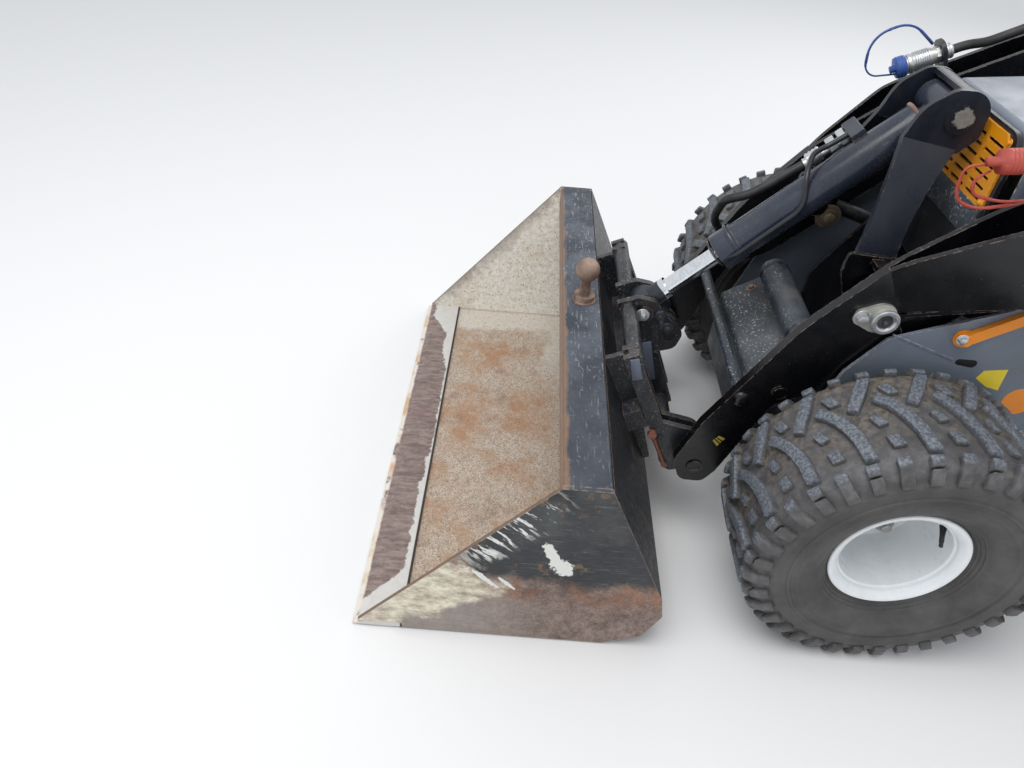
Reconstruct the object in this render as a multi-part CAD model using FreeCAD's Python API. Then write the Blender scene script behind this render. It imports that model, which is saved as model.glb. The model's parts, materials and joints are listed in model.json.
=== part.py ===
import FreeCAD, Part
import math
import os
from FreeCAD import Vector

# Compact stand-on wheeled skid steer loader with its bucket flat on the ground.
# Millimetres. The bucket points to -Y, the machine's left side is +X, +Z is up.
# The origin is on the ground, under the middle of the whole length and width.

# Whole machine
FRONT_TIP_Y = -1190.0
REAR_END_Y = 1190.0
WHEEL_TRACK = 830.0
FRONT_AXLE_Y = -234.0
WHEEL_BASE = 740.0
RUNNING_FIT = 0.05
SEAT = 0.3
SIDE_GAP = 6.0

# Wheels
TYRE_RADIUS = 270.0
TYRE_WIDTH = 250.0
LUG_HEIGHT = 12.0
LUG_ROOT = 8.0
TREAD_PITCHES = 18
BARS_PER_PITCH = 2
SHOULDER_BAR_WIDTH = 20.0
SHOULDER_BAR_ANGLE = 9.4
RIM_FLANGE_RADIUS = 117.0
BEAD_RADIUS = 101.6
RIM_WIDTH = 186.0
RIM_THICKNESS = 5.0
DISC_OFFSET = 50.0
DISC_THICKNESS = 8.0
AXLE_RADIUS = 24.0
MOTOR_RADIUS = 50.0

# Chassis plates
PLATE = 8.0
PANEL_THICKNESS = 6.0
TYRE_CLEARANCE = 18.0
PANEL_OUTER_X = WHEEL_TRACK / 2 - TYRE_WIDTH / 2 - TYRE_CLEARANCE
CYLINDER_SLOT = 117.0
BAY_OUTER_X = PANEL_OUTER_X - CYLINDER_SLOT
BELLY_Z = 140.0
TUB_TOP_Z = 300.0
NOSE_FRONT_Y = -455.0
NOSE_EDGE_Z = 372.0
NOSE_BACK_Y = -335.0
NOSE_BACK_Z = 448.0
BAY_TOP_Z = 660.0
REAR_PLATE_Y = 705.0
REAR_PLATE_TOP_Z = 900.0
MANIFOLD_RADIUS = 30.0

# Loader arms
ARM_PIVOT_Y = 660.0
ARM_PIVOT_Z = 1040.0
ARM_PIN_RADIUS = 20.0
ARM_BOSS_RADIUS = 46.0
ARM_INNER_X = PANEL_OUTER_X - 32.0
ARM_PLATE = 10.0
ARM_FLARED_X = ARM_INNER_X + 85.0
FLARE_LENGTH = 200.0
BEND_Y = -290.0
BEND_Z = 625.0
BEND_LEAN = -0.55
TOWER_INNER_X = BAY_OUTER_X + 20.0
TOWER_WIDTH = 50.0
CROSS_TUBE_Y = -492.0
CROSS_TUBE_Z = 398.0
CROSS_TUBE_RADIUS = 12.0

# Bucket pivot and links
HITCH_PIVOT_Y = -542.0
HITCH_PIVOT_Z = 216.0
HITCH_PIN_RADIUS = 15.0
HITCH_END_RADIUS = 42.0
LINK_PIN_Y = -658.0
LINK_PIN_Z = 429.0
LINK_GAP = 52.0
LINK_PLATE = 14.0
LINK_EYE_RADIUS = 30.0
FRAME_OFFSET = 37.0
HITCH_PLATE = 12.0
HITCH_OUTER_SETBACK = 22.0
HITCH_INNER_SETBACK = 50.0
SQUARE_TUBE = 46.0
SQUARE_TUBE_ALONG = 131.0

# Tilt cylinder
TILT_TOP_Y = -218.0
TILT_TOP_Z = 876.0
TILT_BARREL_RADIUS = 35.0
TILT_ROD_RADIUS = 17.0
TILT_PIN_RADIUS = 15.0
TILT_ROD_SHOWN = 182.0
TILT_PORT_X = 58.0
TILT_PORT_END = 144.0
TILT_FITTING_END = 232.0
TILT_FITTING_OFF = 26.0
EAR_INNER_X = 57.0
EAR_PLATE = 10.0
EAR_RADIUS = 46.0

WING_FOOT_Y = -350.0
WING_FOOT_Z = 640.0
WING_FOOT_SHARE = 0.75

# Lift cylinders
LIFT_X = BAY_OUTER_X + 50.0
LIFT_BASE_Y = 590.0
LIFT_BASE_RISE = 60.0
LIFT_PIN_Y = -306.0
LIFT_PIN_Z = 602.0
LIFT_PIN_RADIUS = 15.0
LIFT_BARREL_RADIUS = 29.0
LIFT_ROD_RADIUS = 15.0
LIFT_ROD_SHOWN = 156.0
LIFT_EYE_RADIUS = 27.0
LIFT_EAR_PLATE = 8.0

# Auxiliary couplers on top of the arms, and their hoses
COUPLER_X = ARM_INNER_X + 22.0
COUPLER_Y = -126.0
COUPLER_Z = 895.0
COUPLER_BODY_RADIUS = 17.5
COUPLER_NUT_RADIUS = 15.0
COUPLER_PLATE = 8.0
COUPLER_PLATE_HEIGHT = 84.0
COUPLER_PLATE_FOOT = 58.0
HOSE_RADIUS = 9.0
TETHER_RADIUS = 1.75

# Safety strut stored along each side panel
STRUT_BOLT_Y = -165.0
STRUT_BOLT_Z = 582.0
STRUT_ANGLE = 33.5
STRUT_LENGTH = 380.0
STRUT_WIDTH = 21.0
STRUT_THICKNESS = 10.0

# Bucket
BUCKET_WIDTH = 1086.0
BUCKET_PLATE = 6.0
BUCKET_SIDE_PLATE = 8.0
BUCKET_FLOOR_Z = 5.0
EDGE_DEPTH = 95.0
EDGE_THICKNESS = 12.0
RAIL_DEPTH = 81.0
RAIL_HEIGHT = 58.0
BALL_RADIUS = 25.0
BALL_Y = -785.0

# Bonnet, console and platform
BONNET_FRONT_Y = -142.0
BONNET_REAR_Y = 590.0
BONNET_FRONT_Z = 888.0
BONNET_REAR_Z = 960.0
BONNET_SHEET = 4.0
BONNET_ROUND = 30.0
HINGE_Y = 596.0
HINGE_Z = 968.0
HINGE_RADIUS = 8.0
HINGE_PIN_RADIUS = 4.0
GRILLE_HALF_WIDTH = BAY_OUTER_X - 17.0
GRILLE_COLUMNS = 4
GRILLE_ROWS = 8
GRILLE_BAR = 10.0
GRILLE_MARGIN = 14.0
SLOT_HEIGHT = 6.0
SLOT_PITCH_Z = 18.0
GRILLE_BOTTOM_Z = 700.0
GRILLE_TOP_Z = 874.0
GRILLE_SHEET = 4.0
GRILLE_FRONT_Y = -158.0
CONSOLE_HALF_WIDTH = BAY_OUTER_X + 10.0
HINGE_X = BAY_OUTER_X - 65.0
LEVER_X = BAY_OUTER_X - 85.0
REST_HALF_WIDTH = CONSOLE_HALF_WIDTH - 15.0
CONSOLE_FRONT_Y = 606.0
CONSOLE_REAR_Y = 784.0
REST_THICKNESS = 44.0
PLATFORM_FRONT_Y = 800.0
PLATFORM_HALF_WIDTH = 330.0
PLATFORM_Z = 262.0
RAIL_TUBE_RADIUS = 13.0
GRAB_RAIL_Z = 1330.0

WHEEL_X = WHEEL_TRACK / 2
REAR_AXLE_Y = FRONT_AXLE_Y + WHEEL_BASE
ARM_FRONT_OUTER_X = ARM_INNER_X + 2 * ARM_PLATE
TOWER_OUTER_X = TOWER_INNER_X + TOWER_WIDTH
PANEL_INNER_X = PANEL_OUTER_X - PANEL_THICKNESS
BAY_INNER_X = BAY_OUTER_X - PLATE
ENGINE_HALF_WIDTH = BAY_INNER_X - 32.0
GRAB_RAIL_X = TOWER_INNER_X + TOWER_WIDTH / 2
DISC_X = WHEEL_X - DISC_OFFSET
BUCKET_HALF = BUCKET_WIDTH / 2
LIFT_EAR_X = LIFT_X - LIFT_BARREL_RADIUS - SIDE_GAP
LIFT_BASE_Z = TYRE_RADIUS + LIFT_BASE_RISE


# Shapes
def box(x0, x1, y0, y1, z0, z1):
    return Part.makeBox(x1 - x0, y1 - y0, z1 - z0, Vector(x0, y0, z0))


def rod_x(y, z, radius, x0, x1):
    return Part.makeCylinder(radius, x1 - x0, Vector(x0, y, z), Vector(1, 0, 0))


def ring_x(y, z, outer, inner, x0, x1):
    return rod_x(y, z, outer, x0, x1).cut(rod_x(y, z, inner, x0 - 1, x1 + 1))


def rod_between(start, end, radius):
    along = end - start
    return Part.makeCylinder(radius, along.Length, start, along)


def rounded_wire(corners, place):
    """Closed wire through corners (u, v) or (u, v, radius), each radius a tangent arc."""
    edges = []
    starts = []
    ends = []
    count = len(corners)
    for i, corner in enumerate(corners):
        here = Vector(corner[0], corner[1], 0)
        before = Vector(*corners[i - 1][:2], 0)
        after = Vector(*corners[(i + 1) % count][:2], 0)
        radius = corner[2] if len(corner) > 2 else 0
        back = (before - here).normalize()
        ahead = (after - here).normalize()
        if not radius:
            starts.append(here)
            ends.append(here)
            continue
        half = back.getAngle(ahead) / 2
        reach = radius / math.tan(half)
        middle = (back + ahead).normalize()
        centre = here + middle * (radius / math.sin(half))
        first = here + back * reach
        last = here + ahead * reach
        edges.append((i, Part.Arc(place(first), place(centre - middle * radius), place(last)).toShape()))
        starts.append(first)
        ends.append(last)
    arcs = dict(edges)
    loop = []
    for i in range(count):
        if i in arcs:
            loop.append(arcs[i])
        following = (i + 1) % count
        run = starts[following] - ends[i]
        side = Vector(*corners[following][:2], 0) - Vector(*corners[i][:2], 0)
        if run.dot(side) < -1e-6:
            raise ValueError("arcs meet between corners %s and %s" % (corners[i], corners[following]))
        if run.Length > 1e-6:
            loop.append(Part.LineSegment(place(ends[i]), place(starts[following])).toShape())
    return Part.Wire(loop)


def side_plate(corners, x0, x1):
    """Plate whose outline (y, z[, radius]) is seen from the side, from x0 to x1."""
    wire = rounded_wire(corners, lambda p: Vector(x0, p.x, p.y))
    return Part.Face(wire).extrude(Vector(x1 - x0, 0, 0))


def plan_prism(corners, z0, z1, lean=0.0):
    """Prism on an outline (x, y[, radius]) seen from above, leaning by lean in Y per Z."""
    wire = rounded_wire(corners, lambda p: Vector(p.x, p.y + lean * z0, z0))
    return Part.Face(wire).extrude(Vector(0, lean * (z1 - z0), z1 - z0))


def front_plate(corners, y0, y1):
    """Plate whose outline (x, z[, radius]) is seen from the front, from y0 to y1."""
    wire = rounded_wire(corners, lambda p: Vector(p.x, y0, p.y))
    return Part.Face(wire).extrude(Vector(0, y1 - y0, 0))


def bent_rod(points, radius, tightness=0.45):
    """Round bar along straight runs joined by tangent arcs."""
    runs = [Vector(*p) for p in points]
    path = []
    here = runs[0]
    for i in range(1, len(runs) - 1):
        back = runs[i - 1] - runs[i]
        ahead = runs[i + 1] - runs[i]
        reach = tightness * min(back.Length, ahead.Length)
        back.normalize()
        ahead.normalize()
        middle = (back + ahead).normalize()
        half = back.getAngle(ahead) / 2
        bend = reach * math.tan(half)
        first = runs[i] + back * reach
        last = runs[i] + ahead * reach
        top = runs[i] + middle * (bend / math.sin(half) - bend)
        path.append(Part.LineSegment(here, first).toShape())
        path.append(Part.Arc(first, top, last).toShape())
        here = last
    path.append(Part.LineSegment(here, runs[-1]).toShape())
    section = Part.Wire(Part.makeCircle(radius, runs[0], runs[1] - runs[0]))
    return Part.Wire(path).makePipeShell([section], True, False)


def mirrored(shape):
    return shape.mirror(Vector(0, 0, 0), Vector(1, 0, 0))


def turned(shape, angle):
    """Shape turned about the X axis, its top going rearward."""
    return shape.rotated(Vector(0, 0, 0), Vector(1, 0, 0), -angle)


def fused(shapes):
    whole = shapes[0]
    for shape in shapes[1:]:
        whole = whole.fuse(shape)
    return whole.removeSplitter()


def save(node, *shapes):
    solids = [solid for shape in shapes for solid in shape.Solids]
    whole = solids[0] if len(solids) == 1 else Part.makeCompound(solids)
    whole.exportStep("parts/%s.step" % node)


# Wheels: a wide low-pressure tyre on a deep-dished steel rim
# One pitch of the tread as (across, round the tyre): a long lug that crosses the middle, and a short one
LONG_LUG = [(-35, -7), (13, 25), (88, 38), (88, 58), (20, 49), (-49, 7)]
SHORT_LUG = [(-15, 61), (-25, 43), (-88, 78), (-88, 100)]


def carcass():
    half = TYRE_WIDTH / 2
    tread = TYRE_RADIUS - LUG_HEIGHT
    seat = RIM_WIDTH / 2 - RIM_THICKNESS
    flange = RIM_FLANGE_RADIUS + 3
    wall = tread - flange
    bulge = flange + 0.47 * wall
    corners = [
        (-seat, BEAD_RADIUS), (seat, BEAD_RADIUS), (seat, flange), (seat + 14, flange + 8, 8),
        (half + 4, bulge, 0.4 * wall), (half - 14, tread, 0.2 * wall),
        (-half + 14, tread, 0.2 * wall), (-half - 4, bulge, 0.4 * wall),
        (-seat - 14, flange + 8, 8), (-seat, flange),
    ]
    wire = rounded_wire(corners, lambda p: Vector(p.x, 0, p.y))
    return Part.Face(wire).revolve(Vector(0, 0, 0), Vector(1, 0, 0), 360)


def lug(outline):
    """Flat-topped lug at the top of the tyre, and the angle that brings it to its place in the pitch."""
    rounds = [y for x, y in outline]
    middle = (min(rounds) + max(rounds)) / 2
    reach = max(rounds) - middle
    top = math.sqrt(TYRE_RADIUS ** 2 - reach ** 2)
    block = plan_prism([(x, y - middle) for x, y in outline], TYRE_RADIUS - LUG_HEIGHT - LUG_ROOT, top)
    return block, math.degrees(middle / TYRE_RADIUS)


def shoulder_bar():
    half = TYRE_WIDTH / 2
    profile = [
        (half - 30, TYRE_RADIUS - 25), (half - 30, TYRE_RADIUS - 2), (half - 15, TYRE_RADIUS - 4),
        (half + 2, TYRE_RADIUS - 47), (half - 13, TYRE_RADIUS - 47),
    ]
    return front_plate(profile, -SHOULDER_BAR_WIDTH / 2, SHOULDER_BAR_WIDTH / 2)


def tyre():
    """Tread angles run rearward from the top of the wheel."""
    pitch = 360 / TREAD_PITCHES
    blocks = []
    for shape, angle in (lug(LONG_LUG), lug(SHORT_LUG)):
        blocks += [turned(shape, angle + pitch * i) for i in range(TREAD_PITCHES)]
    bar = shoulder_bar()
    bar_pitch = pitch / BARS_PER_PITCH
    for shape in (bar, mirrored(bar)):
        blocks += [turned(shape, SHOULDER_BAR_ANGLE + bar_pitch * i)
                   for i in range(TREAD_PITCHES * BARS_PER_PITCH)]
    return carcass().multiFuse(blocks)


def rim():
    half = RIM_WIDTH / 2
    inner = BEAD_RADIUS - RIM_THICKNESS
    corners = [
        (-half, RIM_FLANGE_RADIUS), (-half + RIM_THICKNESS, RIM_FLANGE_RADIUS),
        (-half + RIM_THICKNESS, BEAD_RADIUS), (half - RIM_THICKNESS, BEAD_RADIUS),
        (half - RIM_THICKNESS, RIM_FLANGE_RADIUS), (half, RIM_FLANGE_RADIUS),
        (half, inner, 6), (-half, inner, 6),
    ]
    wire = rounded_wire(corners, lambda p: Vector(p.x, 0, p.y))
    hoop = Part.Face(wire).revolve(Vector(0, 0, 0), Vector(1, 0, 0), 360)
    disc_x = -DISC_OFFSET
    disc = rod_x(0, 0, inner + 1, disc_x, disc_x + DISC_THICKNESS)
    hub = rod_x(0, 0, AXLE_RADIUS + 16, disc_x - 22, disc_x + DISC_THICKNESS)
    bore = rod_x(0, 0, AXLE_RADIUS + RUNNING_FIT, -half, disc_x - 2)
    return fused([hoop, disc, hub]).cut(bore)


def wheels():
    kinds = (("tyre", tyre()), ("rim", rim()))
    for side, sign in (("left", 1), ("right", -1)):
        for end, y in (("front", FRONT_AXLE_Y), ("rear", REAR_AXLE_Y)):
            for kind, shape in kinds:
                placed = shape.translated(Vector(WHEEL_X, y, TYRE_RADIUS))
                save("%s_%s_%s" % (kind, end, side), placed if sign > 0 else mirrored(placed))


def hub_motors():
    motors = []
    for y in (FRONT_AXLE_Y, REAR_AXLE_Y):
        housing = rod_x(y, TYRE_RADIUS, MOTOR_RADIUS, BAY_OUTER_X, PANEL_INNER_X)
        neck = rod_x(y, TYRE_RADIUS, AXLE_RADIUS + 8, PANEL_INNER_X - 1, DISC_X - 24)
        stub = rod_x(y, TYRE_RADIUS, AXLE_RADIUS, PANEL_INNER_X, DISC_X - 3)
        motor = fused([housing, neck, stub])
        motors += [motor, mirrored(motor)]
    save("hub_motors", *motors)


# Chassis: a closed belly tub with a sloping nose, between two slots for the lift cylinders
def chassis():
    tub = side_plate([
        (NOSE_FRONT_Y, NOSE_EDGE_Z, 12), (NOSE_BACK_Y, NOSE_BACK_Z, 12), (NOSE_BACK_Y + 40, TUB_TOP_Z),
        (REAR_PLATE_Y, TUB_TOP_Z), (REAR_PLATE_Y, BELLY_Z), (NOSE_FRONT_Y + 70, BELLY_Z, 20),
        (NOSE_FRONT_Y, BELLY_Z + 90, 20),
    ], -BAY_OUTER_X, BAY_OUTER_X)
    save("belly_tub", tub)

    wall = side_plate([
        (NOSE_BACK_Y + 60, TUB_TOP_Z), (REAR_PLATE_Y, TUB_TOP_Z), (REAR_PLATE_Y, BAY_TOP_Z),
        (GRILLE_FRONT_Y + 14, BAY_TOP_Z, 20), (NOSE_BACK_Y + 60, NOSE_BACK_Z, 30),
    ], BAY_INNER_X, BAY_OUTER_X)
    save("bay_wall_left", wall)
    save("bay_wall_right", mirrored(wall))

    panel = side_plate([
        (-400, BELLY_Z, 25), (-400, 300, 60), (-336, 492, 12), (-286, 568, 10), (-100, 645, 200),
        (130, 712, 200), (420, 748, 80), (REAR_PLATE_Y, 770), (REAR_PLATE_Y, BELLY_Z),
    ], PANEL_INNER_X, PANEL_OUTER_X)
    for y in (FRONT_AXLE_Y, REAR_AXLE_Y):
        panel = panel.cut(rod_x(y, TYRE_RADIUS, AXLE_RADIUS + 8, PANEL_INNER_X - 2, PANEL_OUTER_X + 2))
    along = Vector(0, math.cos(math.radians(STRUT_ANGLE)), math.sin(math.radians(STRUT_ANGLE)))
    bolt = Vector(0, STRUT_BOLT_Y, STRUT_BOLT_Z)
    rest = bolt + along * (STRUT_LENGTH - 60)
    tab = side_plate([
        (rest.y - 16, 680), (rest.y - 16, rest.z + 4, 8), (rest.y + 12, rest.z + 16, 8), (rest.y + 16, 680),
    ], PANEL_INNER_X, PANEL_OUTER_X)
    panel = panel.fuse(tab).removeSplitter()
    save("side_panel_left", panel)
    save("side_panel_right", mirrored(panel))

    end = bolt + along * STRUT_LENGTH
    side = Vector(0, -along.z, along.y) * (STRUT_WIDTH / 2)
    ends = [bolt - along * 12 + side, end + side, end - side, bolt - along * 12 - side]
    bar = side_plate([(p.y, p.z, STRUT_WIDTH / 2 - 1) for p in ends],
                     PANEL_OUTER_X + 1, PANEL_OUTER_X + 1 + STRUT_THICKNESS)
    washer = rod_x(STRUT_BOLT_Y, STRUT_BOLT_Z, 17, PANEL_OUTER_X, PANEL_OUTER_X + 2)
    clip = rod_x(rest.y, rest.z, 8, PANEL_OUTER_X, PANEL_OUTER_X + 2)
    bolt_head = rod_x(STRUT_BOLT_Y, STRUT_BOLT_Z, 8, PANEL_OUTER_X + 1, PANEL_OUTER_X + 6 + STRUT_THICKNESS)
    strut = fused([bar, washer, clip, bolt_head])
    save("safety_struts", strut, mirrored(strut))

    lug_tip = LIFT_BARREL_RADIUS + 8
    lug = [
        (LIFT_BASE_Y - 24, BELLY_Z + PLATE), (LIFT_BASE_Y - lug_tip + 4, LIFT_BASE_Z + lug_tip, lug_tip - 3),
        (LIFT_BASE_Y + lug_tip, LIFT_BASE_Z + lug_tip, lug_tip - 3), (LIFT_BASE_Y + 50, BELLY_Z + PLATE),
    ]
    floor = box(BAY_OUTER_X, PANEL_INNER_X, -395, REAR_PLATE_Y, BELLY_Z, BELLY_Z + PLATE)
    inner_lug = side_plate(lug, BAY_OUTER_X, LIFT_X - LIFT_BARREL_RADIUS - SIDE_GAP)
    outer_lug = side_plate(lug, LIFT_X + LIFT_BARREL_RADIUS + SIDE_GAP, PANEL_INNER_X)
    pin = rod_x(LIFT_BASE_Y, LIFT_BASE_Z, LIFT_PIN_RADIUS, BAY_OUTER_X, PANEL_INNER_X)
    sill = fused([floor, inner_lug, outer_lug, pin])
    save("side_sill_left", sill)
    save("side_sill_right", mirrored(sill))

    top = ARM_PIVOT_Z + ARM_BOSS_RADIUS
    tower = side_plate([
        (REAR_PLATE_Y - 85, BELLY_Z + PLATE), (REAR_PLATE_Y - 85, ARM_PIVOT_Z - 60, 60),
        (ARM_PIVOT_Y - ARM_BOSS_RADIUS, ARM_PIVOT_Z, 30),
        (ARM_PIVOT_Y - ARM_BOSS_RADIUS, top, ARM_BOSS_RADIUS - 2),
        (ARM_PIVOT_Y + ARM_BOSS_RADIUS, top, ARM_BOSS_RADIUS - 2), (REAR_PLATE_Y, ARM_PIVOT_Z - 60, 20),
        (REAR_PLATE_Y, BELLY_Z + PLATE),
    ], TOWER_INNER_X, TOWER_OUTER_X)
    arm_pin = rod_x(ARM_PIVOT_Y, ARM_PIVOT_Z, ARM_PIN_RADIUS, TOWER_INNER_X, ARM_FLARED_X + 14)
    arm_cap = rod_x(ARM_PIVOT_Y, ARM_PIVOT_Z, ARM_PIN_RADIUS + 12, ARM_FLARED_X + 8, ARM_FLARED_X + 16)
    tower = fused([tower, arm_pin, arm_cap])
    save("lift_towers", tower, mirrored(tower))

    rear = front_plate([
        (-PANEL_OUTER_X, BELLY_Z), (PANEL_OUTER_X, BELLY_Z), (PANEL_OUTER_X, REAR_PLATE_TOP_Z, 60),
        (-PANEL_OUTER_X, REAR_PLATE_TOP_Z, 60),
    ], REAR_PLATE_Y, REAR_PLATE_Y + PLATE)
    save("rear_plate", rear)

    save("engine_block", box(-ENGINE_HALF_WIDTH, ENGINE_HALF_WIDTH, -70, 430, TUB_TOP_Z, 800))
    slope = unit_between(NOSE_FRONT_Y, NOSE_EDGE_Z, NOSE_BACK_Y, NOSE_BACK_Z)
    off = MANIFOLD_RADIUS + SEAT
    pipe_y = NOSE_BACK_Y - slope.y * 20 - slope.z * off
    pipe_z = NOSE_BACK_Z - slope.z * 20 + slope.y * off
    save("suction_pipe", rod_x(pipe_y, pipe_z, MANIFOLD_RADIUS, -ENGINE_HALF_WIDTH, BAY_INNER_X))


# Front of the bonnet: a black surround with the slotted sheet on it
def grille():
    surround = front_plate([
        (-BAY_INNER_X, BAY_TOP_Z - 80), (BAY_INNER_X, BAY_TOP_Z - 80), (BAY_INNER_X, BONNET_FRONT_Z - 6, 30),
        (-BAY_INNER_X, BONNET_FRONT_Z - 6, 30),
    ], GRILLE_FRONT_Y + GRILLE_SHEET, GRILLE_FRONT_Y + GRILLE_SHEET + PLATE)
    window = box(-GRILLE_HALF_WIDTH + 24, GRILLE_HALF_WIDTH - 24, GRILLE_FRONT_Y, 0,
                 GRILLE_BOTTOM_Z + 15, GRILLE_TOP_Z - 15)
    save("grille_surround", surround.cut(window))

    sheet = front_plate([
        (-GRILLE_HALF_WIDTH, GRILLE_BOTTOM_Z + 20), (-GRILLE_HALF_WIDTH + 20, GRILLE_BOTTOM_Z),
        (GRILLE_HALF_WIDTH - 20, GRILLE_BOTTOM_Z), (GRILLE_HALF_WIDTH, GRILLE_BOTTOM_Z + 20),
        (GRILLE_HALF_WIDTH, GRILLE_TOP_Z - 25), (GRILLE_HALF_WIDTH - 25, GRILLE_TOP_Z),
        (-GRILLE_HALF_WIDTH + 25, GRILLE_TOP_Z), (-GRILLE_HALF_WIDTH, GRILLE_TOP_Z - 25),
    ], GRILLE_FRONT_Y, GRILLE_FRONT_Y + GRILLE_SHEET)
    pitch_x = 2 * (GRILLE_HALF_WIDTH - GRILLE_MARGIN) / GRILLE_COLUMNS
    slots = []
    for column in range(GRILLE_COLUMNS):
        x = (column - (GRILLE_COLUMNS - 1) / 2) * pitch_x
        reach = (pitch_x - GRILLE_BAR) / 2
        for row in range(GRILLE_ROWS):
            z = GRILLE_BOTTOM_Z + 26 + row * SLOT_PITCH_Z
            slots.append(box(x - reach, x + reach, GRILLE_FRONT_Y - 1, GRILLE_FRONT_Y + GRILLE_SHEET + 1,
                             z - SLOT_HEIGHT / 2, z + SLOT_HEIGHT / 2))
    save("front_grille", sheet.cut(Part.makeCompound(slots)))


# Bonnet over the engine bay, hinged at its rear edge
def bonnet():
    outline = [
        (BONNET_FRONT_Y, BAY_TOP_Z + 6), (BONNET_FRONT_Y, BONNET_FRONT_Z, 14),
        (BONNET_REAR_Y, BONNET_REAR_Z), (BONNET_REAR_Y, BAY_TOP_Z + 6),
    ]
    block = side_plate(outline, -BAY_OUTER_X, BAY_OUTER_X)
    bonnet_length = BONNET_REAR_Y - BONNET_FRONT_Y
    long_edges = [e for e in block.Edges
                  if e.Length > 0.9 * bonnet_length and e.CenterOfMass.z > (BAY_TOP_Z + BONNET_FRONT_Z) / 2]
    block = block.makeFillet(BONNET_ROUND, long_edges)
    hollow = side_plate([
        (BONNET_FRONT_Y - 5, BAY_TOP_Z), (BONNET_FRONT_Y - 5, BONNET_FRONT_Z - 26),
        (BONNET_REAR_Y + 5, BONNET_REAR_Z - 24), (BONNET_REAR_Y + 5, BAY_TOP_Z),
    ], -BAY_OUTER_X + BONNET_SHEET, BAY_OUTER_X - BONNET_SHEET)
    shell = block.cut(hollow)
    knuckles = []
    brackets = []
    for x in (-HINGE_X, HINGE_X):
        leaf = box(x - 10, x + 10, BONNET_REAR_Y - 30, HINGE_Y, BONNET_REAR_Z - 10, HINGE_Z)
        knuckles.append(leaf.fuse(rod_x(HINGE_Y, HINGE_Z, HINGE_RADIUS, x - 10, x + 10)))
        tab = box(x + 11, x + 26, BONNET_REAR_Y + 3, CONSOLE_FRONT_Y, HINGE_Z - 9, HINGE_Z + 9)
        brackets.append(tab.fuse(rod_x(HINGE_Y, HINGE_Z, HINGE_PIN_RADIUS, x - 10, x + 26)))
    pin_bore = rod_x(HINGE_Y, HINGE_Z, HINGE_PIN_RADIUS + RUNNING_FIT, -200, 200)
    save("bonnet", fused([shell] + knuckles).cut(pin_bore))
    save("bonnet_hinge", *brackets)


# Console between the towers, with its levers, grab rail and padded rest
def console():
    body = side_plate([
        (CONSOLE_FRONT_Y, TUB_TOP_Z), (CONSOLE_FRONT_Y, 1090, 20), (648, 1196, 18), (748, 1160, 22),
        (CONSOLE_REAR_Y, 1030, 40), (CONSOLE_REAR_Y, 865, 20),
        (REAR_PLATE_Y + PLATE, 845), (REAR_PLATE_Y + PLATE, REAR_PLATE_TOP_Z + 1),
        (REAR_PLATE_Y, REAR_PLATE_TOP_Z + 1), (REAR_PLATE_Y, TUB_TOP_Z),
    ], -CONSOLE_HALF_WIDTH, CONSOLE_HALF_WIDTH)
    body = body.cut(box(-BAY_OUTER_X - 30, -BAY_INNER_X, 500, 720, 0, BAY_TOP_Z))
    body = body.cut(box(BAY_INNER_X, BAY_OUTER_X + 30, 500, 720, 0, BAY_TOP_Z))
    save("console", body)
    levers = []
    dash_slope = unit_between(648, 1196, 748, 1160)
    for x in (-LEVER_X, LEVER_X):
        foot = Vector(x, 648, 1196) + dash_slope * 55
        knob = foot + Vector(0, -dash_slope.z, dash_slope.y) * 95
        shaft = rod_between(foot, knob, 7)
        gaiter = Part.makeCone(24, 10, 36, foot, knob - foot)
        levers.append(fused([shaft, gaiter, Part.makeSphere(19, knob)]))
    save("control_levers", *levers)
    foot_z = ARM_PIVOT_Z + ARM_BOSS_RADIUS
    top_z = GRAB_RAIL_Z - RAIL_TUBE_RADIUS
    rail = bent_rod([
        (-GRAB_RAIL_X, ARM_PIVOT_Y, foot_z), (-GRAB_RAIL_X, ARM_PIVOT_Y, top_z - 4),
        (-GRAB_RAIL_X, 740, top_z), (GRAB_RAIL_X, 740, top_z),
        (GRAB_RAIL_X, ARM_PIVOT_Y, top_z - 4), (GRAB_RAIL_X, ARM_PIVOT_Y, foot_z),
    ], RAIL_TUBE_RADIUS, 0.4)
    save("grab_rail", rail)
    pad = front_plate([
        (-REST_HALF_WIDTH, 850, 40), (REST_HALF_WIDTH, 850, 40), (REST_HALF_WIDTH, 990, 40),
        (-REST_HALF_WIDTH, 990, 40),
    ], CONSOLE_REAR_Y + SEAT, CONSOLE_REAR_Y + REST_THICKNESS)
    save("thigh_rest", pad)


# Rear platform for the operator
def platform():
    deck = plan_prism([
        (-PLATFORM_HALF_WIDTH, PLATFORM_FRONT_Y), (PLATFORM_HALF_WIDTH, PLATFORM_FRONT_Y),
        (PLATFORM_HALF_WIDTH, REAR_END_Y, 60), (-PLATFORM_HALF_WIDTH, REAR_END_Y, 60),
    ], PLATFORM_Z - 6, PLATFORM_Z)
    toe_board = box(-PLATFORM_HALF_WIDTH, PLATFORM_HALF_WIDTH, PLATFORM_FRONT_Y, PLATFORM_FRONT_Y + 6,
                    PLATFORM_Z - 1, PLATFORM_Z + 120)
    beams = [box(x - 20, x + 20, REAR_PLATE_Y + PLATE, REAR_END_Y - 90, PLATFORM_Z - 46, PLATFORM_Z - 5)
             for x in (-200, 200)]
    save("platform", fused([deck, toe_board] + beams))


# Loader arms: one plate in front, an open-topped box behind the bend
ARM_TOP_EDGE = [(-429, 566, 300), (-319, 702, 300), (-181, 814, 400), (60, 935, 600), (330, 1020, 600)]
ARM_LOW_EDGE = [(330, 905, 600), (60, 800, 600), (-107, 676, 300), (-344, 441, 120), (-433, 393, 60)]


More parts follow.
